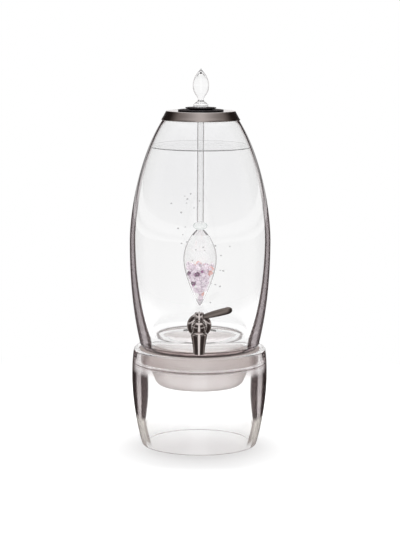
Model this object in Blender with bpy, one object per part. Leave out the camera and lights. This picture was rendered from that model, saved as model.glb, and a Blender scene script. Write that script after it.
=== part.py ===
# Glass water dispenser: an egg-shaped vessel nests in an open glass stand, over a frosted
# dish for ice. A steel lid carries a black stopper with a blown glass stick, whose vial
# holds loose gem chips. A quarter-turn tap passes through the vessel's wall.
# Blender 4.5, metres, +Z up, the floor at z = 0, the tap towards -Y.

import math

import bmesh
import bpy
from mathutils import Matrix, Vector

mm = 0.001

# Clearances shared by all the pieces
seat_gap = 0.3 * mm
running_gap = 0.15 * mm
overrun = 5.0 * mm
merge_distance = 0.001 * mm

# Facets round a turned piece
large_sides = 40
medium_sides = 24
small_sides = 20

# Vessel: an egg of clear glass, about seven litres, nested a little way into its stand
stand_height = 149.2 * mm
vessel_nesting = 3.2 * mm
belly_radius = 106.4 * mm
belly_rise = 166.4 * mm
egg_upper_reach = 223.2 * mm
egg_lower_reach = 283.6 * mm
egg_upper_share = 1.692
egg_lower_share = 2.17
vessel_base_radius = 76.0 * mm
vessel_corner_height = 12.0 * mm
vessel_wall = 4.5 * mm
vessel_low_wall = 17.0 * mm
vessel_low_wall_rise = 28.0 * mm
vessel_wall_fade = 160.0 * mm
vessel_floor_thickness = 7.0 * mm
vessel_floor_radius = 68.0 * mm
vessel_shoulder_rise = 177.6 * mm
neck_radius = 51.0 * mm
neck_wall = 4.0 * mm
neck_length = 10.2 * mm
neck_fillet = 2.5 * mm

# Dish: a stepped frosted bowl for ice, whose collar carries the vessel's rounded corner
dish_seat_share = 0.66
dish_collar_wall = 5.0 * mm
dish_bowl_depth = 36.9 * mm
dish_floor_radius = 55.0 * mm
dish_bowl_step = 13.0 * mm
dish_bowl_wall = 3.5 * mm
dish_rim_rounding = 1.2 * mm

# Stand: an open glass skirt with a ledge inside, which the dish stands on
stand_dish_room = 4.7 * mm
stand_wall = 7.0 * mm
stand_belly_drop = 44.2 * mm
stand_foot_tuck = 15.3 * mm
stand_shoulder_tuck = 2.4 * mm
stand_rim_thickness = 8.2 * mm
stand_foot_chamfer = 1.0 * mm
stand_foot_share = 1.8
stand_shoulder_share = 2.6
ledge_drop = 20.6 * mm
ledge_thickness = 3.7 * mm
ledge_cover = 6.5 * mm
ledge_fillet = 2.0 * mm

# Lid: a spun steel cap with a hole that the stick's vial passes through
lid_rise = 7.8 * mm
lid_depth = 13.4 * mm
lid_neck_room = 0.7 * mm
lid_flare = 7.4 * mm
lid_sheet = 1.5 * mm
lid_edge_rounding = 1.0 * mm
gasket_skirt_wall = 5.2 * mm
gasket_skirt_depth = 6.0 * mm
gasket_lip = 1.2 * mm

# Stopper and grip disc, both black
vial_room = 2.7 * mm
stopper_lap = 6.4 * mm
stopper_flange = 1.6 * mm
stopper_plug_depth = 9.0 * mm
stopper_taper = 1.2 * mm
grip_radius = 23.2 * mm
grip_flare = 5.4 * mm
grip_thickness = 3.0 * mm

# Blown glass stick
tube_radius = 4.4 * mm
tube_above_grip = 6.5 * mm
glass_wall = 1.3 * mm
finial_height = 58.2 * mm
finial_radius = 12.2 * mm
ball_radius = 11.0 * mm
ball_half_height = 6.45 * mm
ball_drop = 173.2 * mm
ball_socket_depth = 3.0 * mm
vial_radius = 25.3 * mm
vial_drop = 126.9 * mm
vial_neck_radius = 5.6 * mm
vial_plug_depth = 6.0 * mm

# Outlines of the blown forms, from the foot up: shares of the greatest radius and of the height
finial_shares = ((0.86, 0.0), (0.92, 0.045), (0.66, 0.105), (0.40, 0.165), (0.33, 0.23), (0.40, 0.30),
                 (0.72, 0.40), (0.95, 0.49), (1.0, 0.56), (0.93, 0.65), (0.72, 0.76), (0.44, 0.87),
                 (0.17, 0.96), (0.0, 1.0))
vial_shares = ((0.0, 0.0), (0.13, 0.035), (0.30, 0.11), (0.50, 0.205), (0.69, 0.31), (0.84, 0.41),
               (0.95, 0.51), (1.0, 0.61), (0.96, 0.71), (0.84, 0.80), (0.66, 0.88), (0.44, 0.95))

# Gem chips in the vial: rows from the tip up
gem_low_gap = 10.0 * mm
gem_gap = 0.1 * mm
gem_size = 12.4 * mm
gem_nested_size = 11.8 * mm
# Each row's turn round the vial, and how much of a chip's radius is worn off at most
gem_turn_shares = (0.0, 0.12, 0.37, 0.21, 0.05)
gem_chip_share = 0.06
gem_kinds = ("quartz", "rose", "quartz", "amethyst", "quartz")

# Tap, from the shank through the vessel's wall out to the rosette
shank_rise = 54.4 * mm
shank_radius = 6.0 * mm
shank_bore_radius = 3.0 * mm
wall_hole_room = 1.0 * mm
washer_radius = 15.0 * mm
washer_stand_off = 2.6 * mm
inner_washer_radius = 13.5 * mm
inner_washer_rest = 3.2 * mm
nut_radius = 12.5 * mm
nut_thickness = 5.0 * mm
nut_chamfer = 0.8 * mm
shank_spare = 2.5 * mm
rosette_radius = 18.0 * mm
rosette_depth = 5.6 * mm
rosette_wall = 1.2 * mm
rosette_crown_radius = 9.5 * mm

# Tap body and the quarter-turn plug in it
body_radius = 11.0 * mm
body_half_height = 10.6 * mm
body_sole = 0.1 * mm
collar_step = 0.3 * mm
nipple_radius = 7.6 * mm
nipple_length = 9.0 * mm
plug_radius = 5.0 * mm
plug_drop = 9.6 * mm
plug_land = 0.35 * mm
port_radius = 2.8 * mm
stem_radius = 2.9 * mm
ring_section_radius = 0.62 * mm
ring_side_room = 0.46 * mm
ring_spacing = 9.6 * mm
body_outlet_radius = 3.6 * mm
bonnet_spigot = 2.0 * mm
bonnet_radius = 6.9 * mm
bonnet_flange = 2.8 * mm

# Spout bell
spout_shoulder_radius = 12.1 * mm
spout_gap = 0.7 * mm
spout_length = 32.6 * mm
spout_bore_radius = 6.6 * mm
spout_shares = ((0.66, 0.0), (0.68, 0.02), (0.74, 0.25), (0.84, 0.52), (0.94, 0.74), (1.0, 0.86),
                (0.97, 0.93), (0.86, 0.985), (0.80, 1.0))

# Lever and its screw
hub_radius = 6.85 * mm
hub_height = 10.6 * mm
stem_set_back = 1.0 * mm
screw_head_radius = 4.6 * mm
screw_head_height = 2.4 * mm
screw_shank_radius = 1.5 * mm
screw_shank_length = 5.0 * mm
screw_socket_radius = 1.7 * mm
screw_socket_depth = 1.3 * mm
lever_reach = 48.0 * mm
lever_rise = 12.5 * mm
lever_root_rise = 3.0 * mm
lever_root_width = 5.4 * mm
lever_root_depth = 6.0 * mm
lever_tip_width = 8.5 * mm
lever_tip_depth = 10.6 * mm
lever_sides = 16
# Along the lever: distance, then the growth from the root section to the tip section
lever_shares = ((0.04, 0.0), (0.13, 0.02), (0.245, 0.48), (0.36, 0.70), (0.475, 0.84), (0.70, 1.0), (0.86, 1.0))
lever_nose_shares = ((0.93, 0.95), (0.97, 0.75), (0.99, 0.45))

# Heights that follow, all above the floor
ledge_top = stand_height - ledge_drop
stand_belly_height = stand_height - stand_belly_drop
vessel_base_height = stand_height - vessel_nesting
vessel_corner_top = vessel_base_height + vessel_corner_height
belly_height = vessel_base_height + belly_rise
vessel_low_wall_height = vessel_base_height + vessel_low_wall_rise
vessel_shoulder_height = belly_height + vessel_shoulder_rise
neck_top = vessel_shoulder_height + neck_length
lid_top_height = neck_top + lid_rise
lid_low_height = lid_top_height - lid_depth
ball_height = lid_top_height - ball_drop
vial_tip = ball_height - vial_drop
shank_height = vessel_base_height + shank_rise
collar_radius = shank_radius + collar_step
body_bottom = shank_height - collar_radius - body_sole
ring_groove_width = 2 * ring_section_radius + ring_side_room
plug_bottom = shank_height - plug_drop
plug_top = shank_height + (ring_spacing + ring_groove_width) / 2 + plug_land
body_top = plug_top + bonnet_spigot
spout_mouth_height = body_bottom - spout_length
hub_low = body_top + bonnet_flange + 2 * seat_gap
hub_top = hub_low + hub_height
stem_top = hub_top - screw_head_height / 2 - stem_set_back
lever_start_height = hub_low + lever_root_rise
lid_top_radius = neck_radius + lid_neck_room
lid_low_radius = lid_top_radius + lid_flare
lid_hole_radius = vial_radius + vial_room
local_origin = (0.0, 0.0, 0.0)


def finish(name, colour, roughness, metallic=0.0, transmission=0.0):
    material = bpy.data.materials.new(name)
    material.use_nodes = True
    shader = material.node_tree.nodes["Principled BSDF"]
    shader.inputs["Base Color"].default_value = (*colour, 1.0)
    shader.inputs["Roughness"].default_value = roughness
    shader.inputs["Metallic"].default_value = metallic
    shader.inputs["Transmission Weight"].default_value = transmission
    return material


def add_object(name, mesh, material, place, parent=None):
    """Link a mesh as one named piece, placed in its parent's frame."""
    piece = bpy.data.objects.new(name, mesh)
    bpy.context.scene.collection.objects.link(piece)
    if material:
        mesh.materials.append(material)
    piece.parent = parent
    piece.location = place
    return piece


def shade(mesh, angle=math.radians(35)):
    mesh.shade_smooth()
    mesh.set_sharp_from_angle(angle=angle)


def mesh_from(name, form):
    bmesh.ops.remove_doubles(form, verts=form.verts, dist=merge_distance)
    bmesh.ops.recalc_face_normals(form, faces=form.faces)
    mesh = bpy.data.meshes.new(name)
    form.to_mesh(mesh)
    form.free()
    shade(mesh)
    return mesh


def turned_mesh(name, outline, sides):
    """Turn an outline of (radius, height) points about Z. It closes on itself or on the axis."""
    form = bmesh.new()
    verts = [form.verts.new((radius, 0.0, height)) for radius, height in outline]
    on_axis = outline[0][0] == 0.0 and outline[-1][0] == 0.0
    ends = verts[1:] if on_axis else verts[1:] + verts[:1]
    edges = [form.edges.new(pair) for pair in zip(verts, ends)]
    bmesh.ops.spin(form, geom=verts + edges, cent=(0, 0, 0), axis=(0, 0, 1), dvec=(0, 0, 0),
                   angle=math.tau, steps=sides, use_merge=True)
    return mesh_from(name, form)


def turned(name, outline, material, sides, place, parent=None, toward_front=False):
    """A turned piece. With toward_front its heights run outwards, along -Y."""
    mesh = turned_mesh(name, outline, sides)
    if toward_front:
        mesh.transform(Matrix.Rotation(math.radians(90), 4, "X"))
    return add_object(name, mesh, material, place, parent)


def cutter(piece):
    piece.hide_render = True
    piece.display_type = "WIRE"
    return piece


def boolean(piece, other, operation):
    modifier = piece.modifiers.new(operation.title(), "BOOLEAN")
    modifier.operation = operation
    modifier.object = other


def rod(low, high, radius):
    """The outline of a plain solid cylinder."""
    return [(0.0, low), (radius, low), (radius, high), (0.0, high)]


def arc(centre, reach, start, end, steps):
    """Points of an ellipse's arc about a centre, angles in degrees from the radial direction."""
    points = []
    for step in range(steps + 1):
        turn = math.radians(start + (end - start) * step / steps)
        points.append((centre[0] + reach[0] * math.cos(turn), centre[1] + reach[1] * math.sin(turn)))
    return points


def spread(low, high, count):
    """Heights from low to high, evenly spaced."""
    return [low + (high - low) * step / (count - 1) for step in range(count)]


def swelling(height, widest, widest_height, reach, share):
    """The radius of a form that bulges to its widest radius, at a height."""
    return widest * math.sqrt(max(1 - (abs(height - widest_height) / reach) ** share, 0.0))


def reach_for(radius, height, widest, widest_height, share):
    """How far a swelling must reach for its outline to pass through one point."""
    return abs(height - widest_height) / (1 - (radius / widest) ** 2) ** (1 / share)


def egg_radius(height):
    if height > belly_height:
        return swelling(height, belly_radius, belly_height, egg_upper_reach, egg_upper_share)
    return swelling(height, belly_radius, belly_height, egg_lower_reach, egg_lower_share)


def wall_at(height):
    """The vessel's wall grows thicker below, as blown glass does."""
    rise = (height - vessel_low_wall_height) / vessel_wall_fade
    return vessel_wall + (vessel_low_wall - vessel_wall) * (1 - min(max(rise, 0.0), 1.0)) ** 2


def inner_radius(height):
    return egg_radius(height) - wall_at(height)


def glass_face():
    """How far the wall stands out at the top of the rosette, where it leans furthest forward."""
    return egg_radius(shank_height + rosette_radius) + washer_stand_off / 2


def rosette_front():
    return glass_face() + seat_gap + rosette_depth


# Radii that follow from the vessel's outline
vessel_corner_reach = egg_radius(vessel_corner_top) - vessel_base_radius
dish_collar_radius = vessel_base_radius + dish_seat_share * vessel_corner_reach
dish_radius = dish_collar_radius + dish_collar_wall
ledge_radius = dish_radius - ledge_cover
dish_bowl_radius = ledge_radius - dish_bowl_step
stand_belly_radius = dish_radius + stand_dish_room + stand_wall
stand_foot_radius = stand_belly_radius - stand_foot_tuck
stand_shoulder_radius = stand_belly_radius - stand_shoulder_tuck
inner_washer_face = inner_radius(shank_height - inner_washer_radius) - inner_washer_rest

# The tap makes the whole object lopsided: the origin is under the middle of it all
barrel_reach = rosette_front() + spout_gap + spout_shoulder_radius
glass_axis_y = (barrel_reach + spout_shoulder_radius - belly_radius) / 2
barrel_y = glass_axis_y - barrel_reach


def stand_radius(height):
    if height < stand_belly_height:
        reach = reach_for(stand_foot_radius, 0.0, stand_belly_radius, stand_belly_height, stand_foot_share)
        return swelling(height, stand_belly_radius, stand_belly_height, reach, stand_foot_share)
    rounding_start = stand_height - stand_rim_thickness / 2
    reach = reach_for(stand_shoulder_radius, rounding_start, stand_belly_radius, stand_belly_height,
                      stand_shoulder_share)
    return swelling(height, stand_belly_radius, stand_belly_height, reach, stand_shoulder_share)


def make_stand(material):
    foot = stand_foot_radius
    rim_radius = stand_rim_thickness / 2
    rim_centre = (stand_shoulder_radius - rim_radius, stand_height - rim_radius)
    outer_heights = spread(stand_foot_chamfer, rim_centre[1], 9)
    outer = [(stand_radius(height), height) for height in outer_heights[:-1]]
    rim = arc(rim_centre, (rim_radius, rim_radius), 0, 180, 6)
    ledge_low = ledge_top - ledge_thickness
    wall_above = stand_radius(ledge_top) - stand_wall
    wall_below = stand_radius(ledge_low) - stand_wall
    nose = ledge_thickness / 2
    ledge = [(wall_above, ledge_top + ledge_fillet), (wall_above - ledge_fillet, ledge_top)]
    ledge += arc((ledge_radius + nose, ledge_top - nose), (nose, nose), 90, 270, 3)
    ledge += [(wall_below - ledge_fillet, ledge_low), (wall_below, ledge_low - ledge_fillet)]
    inner_heights = spread(stand_foot_chamfer, ledge_low - ledge_fillet, 7)
    inner = [(stand_radius(height) - stand_wall, height) for height in reversed(inner_heights[:-1])]
    sole = [(foot - stand_wall + stand_foot_chamfer, 0.0), (foot - stand_foot_chamfer, 0.0)]
    outline = outer + rim + ledge + inner + sole
    return turned("stand_glass", outline, material, large_sides, (0, glass_axis_y, 0))


def vessel_corner(radius):
    """The height of the vessel's rounded lower corner at a radius."""
    across = (radius - vessel_base_radius) / vessel_corner_reach
    return vessel_base_height + vessel_corner_height * (1 - math.sqrt(1 - across ** 2))


def make_dish(material, parent):
    collar_inner = dish_collar_radius
    rim = vessel_corner(collar_inner) - seat_gap
    foot = ledge_top + seat_gap
    floor_height = foot - dish_bowl_depth
    outer = [(dish_radius, foot), (dish_radius, rim - dish_rim_rounding)]
    outer += [(dish_radius - dish_rim_rounding, rim)]
    inside = [(collar_inner + dish_rim_rounding, rim), (collar_inner, rim - seat_gap)]
    inside += [(collar_inner, foot + dish_bowl_wall), (dish_bowl_radius, foot + dish_bowl_wall)]
    corner = (dish_bowl_radius - dish_floor_radius, dish_bowl_depth)
    centre = (dish_floor_radius, foot)
    inner_reach = (corner[0] - dish_bowl_wall, corner[1] - dish_bowl_wall)
    inside += arc(centre, inner_reach, 0, -90, 5)
    outside = [(0.0, floor_height)] + arc(centre, corner, -90, 0, 5)
    outline = outside + outer + inside + [(0.0, floor_height + dish_bowl_wall)]
    return turned("seat_dish", outline, material, large_sides, local_origin, parent)


def outer_side(stand_off=0.0):
    """The vessel's outer side, from its rounded corner up to its shoulder."""
    heights = spread(vessel_corner_top, vessel_shoulder_height, 14)
    return [(egg_radius(height) + stand_off, height) for height in heights]


def inner_side(stand_off=0.0):
    """The vessel's inner side, from the thick glass at its foot up to its shoulder."""
    heights = spread(vessel_low_wall_height, vessel_shoulder_height - 2 * vessel_wall, 11)
    return [(inner_radius(height) - stand_off, height) for height in heights]


def make_vessel(material, parent, hole):
    outer = [(0.0, vessel_base_height)]
    corner = (vessel_base_radius, vessel_corner_top)
    outer += arc(corner, (vessel_corner_reach, vessel_corner_height), -90, 0, 4)
    outer += outer_side()[1:]
    neck_low = (vessel_shoulder_height + neck_top) / 2
    outer += [(neck_radius + neck_fillet, neck_low - neck_fillet / 2)]
    outer += [(neck_radius, neck_low + neck_fillet / 2)]
    neck_nose = neck_wall / 2
    outer += arc((neck_radius - neck_nose, neck_top - neck_nose), (neck_nose, neck_nose), 0, 180, 4)
    floor = vessel_base_height + vessel_floor_thickness
    side_low = vessel_low_wall_height
    neck_foot = vessel_shoulder_height - vessel_wall
    inner = [(neck_radius - neck_wall, neck_foot)]
    inner += reversed(inner_side())
    inner_reach = (inner_radius(side_low) - vessel_floor_radius, side_low - floor)
    inner += arc((vessel_floor_radius, side_low), inner_reach, 0, -90, 5)[1:]
    inner += [(0.0, floor)]
    vessel = turned("vessel_glass", outer + inner, material, large_sides, local_origin, parent)
    boolean(vessel, hole, "DIFFERENCE")
    return vessel


def make_lid(material, parent):
    slope = lid_flare / lid_depth
    rounding = lid_edge_rounding
    side = [(lid_low_radius, lid_low_height), (lid_top_radius + slope * rounding, lid_top_height - rounding)]
    top = [(lid_top_radius - rounding, lid_top_height), (lid_hole_radius, lid_top_height)]
    under = lid_top_height - lid_sheet
    inside = [(lid_hole_radius, under), (lid_top_radius - lid_sheet, under)]
    inside += [(lid_low_radius - lid_sheet, lid_low_height)]
    return turned("lid_shell", side + top + inside, material, large_sides, local_origin, parent)


def make_gasket(material, parent):
    top = lid_top_height - lid_sheet - seat_gap
    outer = lid_top_radius - lid_sheet - seat_gap
    skirt = neck_radius - neck_wall - seat_gap
    low = neck_top + seat_gap
    inner = skirt - gasket_skirt_wall
    skirt_low = low - gasket_skirt_depth
    lip = gasket_lip
    outline = [(outer - lip, low), (outer, low + lip), (outer, top), (inner, top), (inner, skirt_low),
               (skirt - lip, skirt_low), (skirt, skirt_low + lip), (skirt, low)]
    return turned("lid_gasket", outline, material, large_sides, local_origin, parent)


def make_stopper(material, parent):
    low = lid_top_height - stopper_plug_depth
    foot = lid_top_height + seat_gap
    top = foot + stopper_flange
    plug = lid_hole_radius - seat_gap
    bore = tube_radius + seat_gap
    brim = lid_hole_radius + stopper_lap
    edge = stopper_flange / 4
    outline = [(bore, low), (plug - stopper_taper, low), (plug, foot), (brim, foot), (brim, top - edge),
               (brim - edge, top), (bore, top)]
    return turned("stopper_plug", outline, material, medium_sides, local_origin, parent)


def grip_top():
    return lid_top_height + stopper_flange + grip_thickness + 2 * seat_gap


def make_grip(material, parent):
    low = lid_top_height + stopper_flange + 2 * seat_gap
    top = grip_top()
    bore = tube_radius + seat_gap
    brim = grip_radius - grip_thickness / 4
    outline = [(bore, low), (grip_radius - grip_flare, low), (grip_radius, top - grip_thickness / 3),
               (brim, top), (bore, top)]
    return turned("grip_disc", outline, material, medium_sides, local_origin, parent)


def blown_shell(curve, radius, low, height, wall, closed_end):
    """Outer and inner outlines of a thin blown form, from shares of its radius and height."""
    outer = [(share_r * radius, low + share_z * height) for share_r, share_z in curve]
    inner = [(share_r - wall, share_z) for share_r, share_z in outer if share_r - wall > wall / 2]
    tip_height = (inner[-1] if closed_end == "top" else inner[0])[1]
    tip = (0.0, tip_height)
    return outer, (inner + [tip] if closed_end == "top" else [tip] + inner)


def make_finial(material, parent):
    low = grip_top() + seat_gap
    outer, inner = blown_shell(finial_shares, finial_radius, low, finial_height, glass_wall, "top")
    return turned("finial_glass", inner[::-1] + outer, material, small_sides, local_origin, parent)


def make_tube(material, parent):
    low = ball_height + ball_half_height - ball_socket_depth + seat_gap
    high = grip_top() + tube_above_grip
    bore = tube_radius - glass_wall
    outline = [(tube_radius, low), (tube_radius, high), (bore, high), (bore, low)]
    return turned("stem_tube", outline, material, small_sides, local_origin, parent)


def make_ball(material, parent):
    """The solid flattened ball below the tube: a socket above, a plug into the vial below."""
    socket = tube_radius + seat_gap
    plug = vial_neck_radius - glass_wall - seat_gap
    plug_low = vial_tip + vial_height() - vial_plug_depth
    socket_floor = ball_height + ball_half_height - ball_socket_depth
    low_turn = math.degrees(math.acos(plug / ball_radius))
    high_turn = math.degrees(math.acos(socket / ball_radius))
    outline = [(0.0, plug_low), (plug, plug_low)]
    outline += arc((0.0, ball_height), (ball_radius, ball_half_height), -low_turn, high_turn, 8)
    outline += [(socket, socket_floor), (0.0, socket_floor)]
    return turned("stem_ball", outline, material, small_sides, local_origin, parent)


def vial_curve():
    """The vial's outline in shares, ending at its neck."""
    return vial_shares + ((vial_neck_radius / vial_radius, 1.0),)


def vial_height():
    bore = vial_neck_radius - glass_wall
    foot = ball_half_height * math.sqrt(1 - (bore / ball_radius) ** 2)
    return ball_height - foot - seat_gap - vial_tip


def make_vial(material, parent):
    outer, inner = blown_shell(vial_curve(), vial_radius, vial_tip, vial_height(), glass_wall, "bottom")
    return turned("vial_glass", outer + inner[::-1], material, small_sides, local_origin, parent)


def vial_inner_radius(height):
    """The vial's bore at a height, read from its own outline."""
    points = [(share_r * vial_radius, vial_tip + share_z * vial_height()) for share_r, share_z in vial_curve()]
    for (r1, z1), (r2, z2) in zip(points, points[1:]):
        if z1 <= height <= z2:
            return r1 + (r2 - r1) * (height - z1) / (z2 - z1) - glass_wall
    return 0.0


def gem_mesh(name, size, turn):
    """One tumbled chip: a low ball, squashed and skewed by a repeatable rule."""
    form = bmesh.new()
    bmesh.ops.create_icosphere(form, subdivisions=2, radius=size / 2)
    for index, vert in enumerate(form.verts):
        vert.co *= 1.0 - gem_chip_share * (0.5 + 0.5 * math.sin(index * 2.4 + turn * 7.0))
    bmesh.ops.rotate(form, verts=form.verts, cent=(0, 0, 0), matrix=Matrix.Rotation(turn * 3.0, 3, "Y"))
    bmesh.ops.rotate(form, verts=form.verts, cent=(0, 0, 0), matrix=Matrix.Rotation(turn * 5.0, 3, "Z"))
    return mesh_from(name, form)


def chips_round(ring, size):
    """How many chips of one size fit side by side round a ring."""
    half = (size + gem_gap) / 2
    return int(math.pi / math.asin(half / ring)) if ring > half else 1


def nested_reach():
    """How far apart a nested chip and one that it touches lie."""
    return (gem_size + gem_nested_size) / 2 + gem_gap


def nest_over(ring):
    """How far above a ring of chips one more comes to rest in its middle."""
    return math.sqrt(max(nested_reach() ** 2 - ring ** 2, 0.0))


def gem_places():
    """(x, y, z, size) of each chip: rows from the tip up, each ringed against the vial's wall."""
    height = vial_tip + gem_low_gap
    row_step = gem_size + gem_gap
    ring = 0.0
    for turn_share in gem_turn_shares:
        nest = nest_over(ring)
        radius = vial_inner_radius(height)
        slope = math.atan2(radius - vial_inner_radius(height - gem_size / 2), gem_size / 2)
        ring = radius - (gem_size / 2 + gem_gap) / math.cos(slope)
        count = chips_round(ring, gem_size)
        if count == 1:
            ring = 0.0
            size = min(gem_size, 2 * (radius * math.cos(slope) - gem_gap))
            yield 0.0, 0.0, height, size
            height += (size + gem_size) / 2 + gem_gap
            continue
        for index in range(count):
            angle = math.tau * (index / count + turn_share)
            yield ring * math.cos(angle), ring * math.sin(angle), height, gem_size
        if nest > gem_size / 2 and math.hypot(ring, row_step - nest) > nested_reach():
            yield 0.0, 0.0, height - row_step + nest, gem_nested_size
        height += row_step


def make_gems(materials, parent):
    for index, (x, y, height, size) in enumerate(gem_places()):
        kind = gem_kinds[index % len(gem_kinds)]
        mesh = gem_mesh(kind, size, index + 1.0)
        add_object(f"gem_{kind}_{index + 1:02d}", mesh, materials[kind], (x, y, height), parent)


def tap_place():
    return (0, glass_axis_y, shank_height)


def wall_form(name, side):
    """A solid in the form of one side of the vessel's wall, to fit the washers to it."""
    outline = [(0.0, side[0][1])] + side + [(0.0, side[-1][1])]
    return cutter(turned(name, outline, None, large_sides, (0, glass_axis_y, 0)))


def make_washers(material, outer_form, inner_form):
    """Soft washers either side of the wall, each moulded to the glass that it seals against."""
    bore = shank_radius + seat_gap
    back = inner_radius(shank_height) - washer_radius / 2
    front = glass_face()
    outline = [(bore, back), (washer_radius, back), (washer_radius, front), (bore, front)]
    outer = turned("tap_outer_washer", outline, material, medium_sides, tap_place(), toward_front=True)
    boolean(outer, outer_form, "DIFFERENCE")
    back = inner_washer_face
    outline = [(bore, back), (inner_washer_radius, back), (inner_washer_radius, front), (bore, front)]
    inner = turned("tap_inner_washer", outline, material, medium_sides, tap_place(), toward_front=True)
    boolean(inner, inner_form, "INTERSECT")
    return outer, inner


def make_nut(material):
    """A hexagon nut on the shank: six turned sides, chamfered inwards, with a round bore."""
    high = inner_washer_face - seat_gap
    low = high - nut_thickness
    outline = [(0.0, low), (nut_radius - nut_chamfer, low), (nut_radius, low + nut_chamfer), (nut_radius, high),
               (0.0, high)]
    nut = turned("tap_lock_nut", outline, material, 6, tap_place(), toward_front=True)
    bore = rod(low - overrun, high + overrun, shank_radius + seat_gap)
    bore_form = turned("nut_bore_form", bore, None, medium_sides, tap_place(), toward_front=True)
    boolean(nut, cutter(bore_form), "DIFFERENCE")
    return nut


def make_rosette(material):
    back = glass_face() + seat_gap
    front = rosette_front()
    wall = rosette_wall
    bore = shank_radius + seat_gap
    spread_reach = rosette_radius - rosette_crown_radius
    outer = arc((rosette_crown_radius, back), (spread_reach, rosette_depth), 0, 90, 5)
    inner = arc((rosette_crown_radius, back), (spread_reach - wall, rosette_depth - wall), 90, 0, 4)
    outline = outer + [(bore, front), (bore, front - wall)] + inner
    return turned("tap_rosette", outline, material, medium_sides, tap_place(), toward_front=True)


def make_tap_body(material, place):
    """Body: an upright ball with a shank towards the vessel, bored for the valve plug."""
    collar_face = rosette_front() + seat_gap
    shank_end = inner_washer_face - seat_gap - nut_thickness - shank_spare
    low_turn = math.degrees(math.asin((body_bottom - shank_height) / body_half_height))
    high_turn = math.degrees(math.asin((body_top - shank_height) / body_half_height))
    ball = arc((0.0, shank_height), (body_radius, body_half_height), low_turn, high_turn, 8)
    nipple_low = body_bottom - nipple_length
    outline = [(0.0, nipple_low), (nipple_radius, nipple_low), (nipple_radius, body_bottom)] + ball
    outline += [(0.0, body_top)]
    body = turned("tap_body", outline, material, medium_sides, place)
    shank = [(0.0, shank_end), (shank_radius, shank_end), (shank_radius, collar_face)]
    shank += [(collar_radius, collar_face), (collar_radius, barrel_reach), (0.0, barrel_reach)]
    shank_piece = turned("shank_form", shank, None, medium_sides, tap_place(), toward_front=True)
    boolean(body, cutter(shank_piece), "UNION")
    bore = plug_radius + running_gap
    floor = plug_bottom - seat_gap
    outlet = body_outlet_radius
    well = [(0.0, nipple_low - overrun), (outlet, nipple_low - overrun), (outlet, floor), (bore, floor),
            (bore, body_top + overrun), (0.0, body_top + overrun)]
    boolean(body, cutter(turned("plug_well_form", well, None, medium_sides, place)), "DIFFERENCE")
    way = rod(shank_end - overrun, barrel_reach, shank_bore_radius)
    way_form = turned("shank_way_form", way, None, small_sides, tap_place(), toward_front=True)
    boolean(body, cutter(way_form), "DIFFERENCE")
    return body


def make_spout(material, place):
    top = body_bottom - seat_gap
    height = top - spout_mouth_height
    socket = nipple_radius + seat_gap
    socket_floor = body_bottom - nipple_length - seat_gap
    outer = [(share_r * spout_shoulder_radius, spout_mouth_height + share_z * height)
             for share_r, share_z in spout_shares]
    inner = [(socket, top), (socket, socket_floor), (spout_bore_radius, socket_floor),
             (spout_bore_radius, spout_mouth_height)]
    return turned("tap_spout", outer + inner, material, medium_sides, place)


def make_bonnet(material, place):
    low = plug_top + seat_gap
    flange = body_top + seat_gap
    spigot = plug_radius - running_gap
    bore = stem_radius + running_gap
    outline = [(bore, low), (spigot, low), (spigot, flange), (bonnet_radius, flange),
               (bonnet_radius, flange + bonnet_flange), (bore, flange + bonnet_flange)]
    return turned("bonnet_nut", outline, material, small_sides, place)


def ring_heights():
    return (shank_height - ring_spacing / 2, shank_height + ring_spacing / 2)


def make_plug(material, parent):
    """Valve plug: a grooved cylinder with a side port that leads down to the spout."""
    groove = plug_radius - 2 * ring_section_radius
    outline = [(0.0, plug_bottom), (plug_radius, plug_bottom)]
    for height in ring_heights():
        low, high = height - ring_groove_width / 2, height + ring_groove_width / 2
        outline += [(plug_radius, low), (groove, low), (groove, high), (plug_radius, high)]
    outline += [(plug_radius, plug_top), (stem_radius, plug_top), (stem_radius, stem_top)]
    outline += [(screw_shank_radius + running_gap, stem_top)]
    screw_well = stem_top - screw_shank_length - seat_gap
    outline += [(screw_shank_radius + running_gap, screw_well), (0.0, screw_well)]
    plug = turned("valve_plug", outline, material, small_sides, local_origin, parent)
    down = rod(plug_bottom - overrun, shank_height, port_radius)
    boolean(plug, cutter(turned("plug_way_form", down, None, small_sides, local_origin, parent)), "DIFFERENCE")
    side = turned_mesh("plug_port_form", rod(0.0, plug_radius + overrun, port_radius), small_sides)
    side.transform(Matrix.Translation((0, 0, shank_height)) @ Matrix.Rotation(math.radians(-90), 4, "Y"))
    boolean(plug, cutter(add_object("plug_port_form", side, None, local_origin, parent)), "DIFFERENCE")
    return plug


def make_o_rings(material, parent):
    for name, height in zip(("plug_o_ring_lower", "plug_o_ring_upper"), ring_heights()):
        middle = plug_radius - ring_section_radius + running_gap / 2
        section = arc((middle, height), (ring_section_radius, ring_section_radius), 0, 315, 7)
        turned(name, section, material, small_sides, local_origin, parent)


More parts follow.
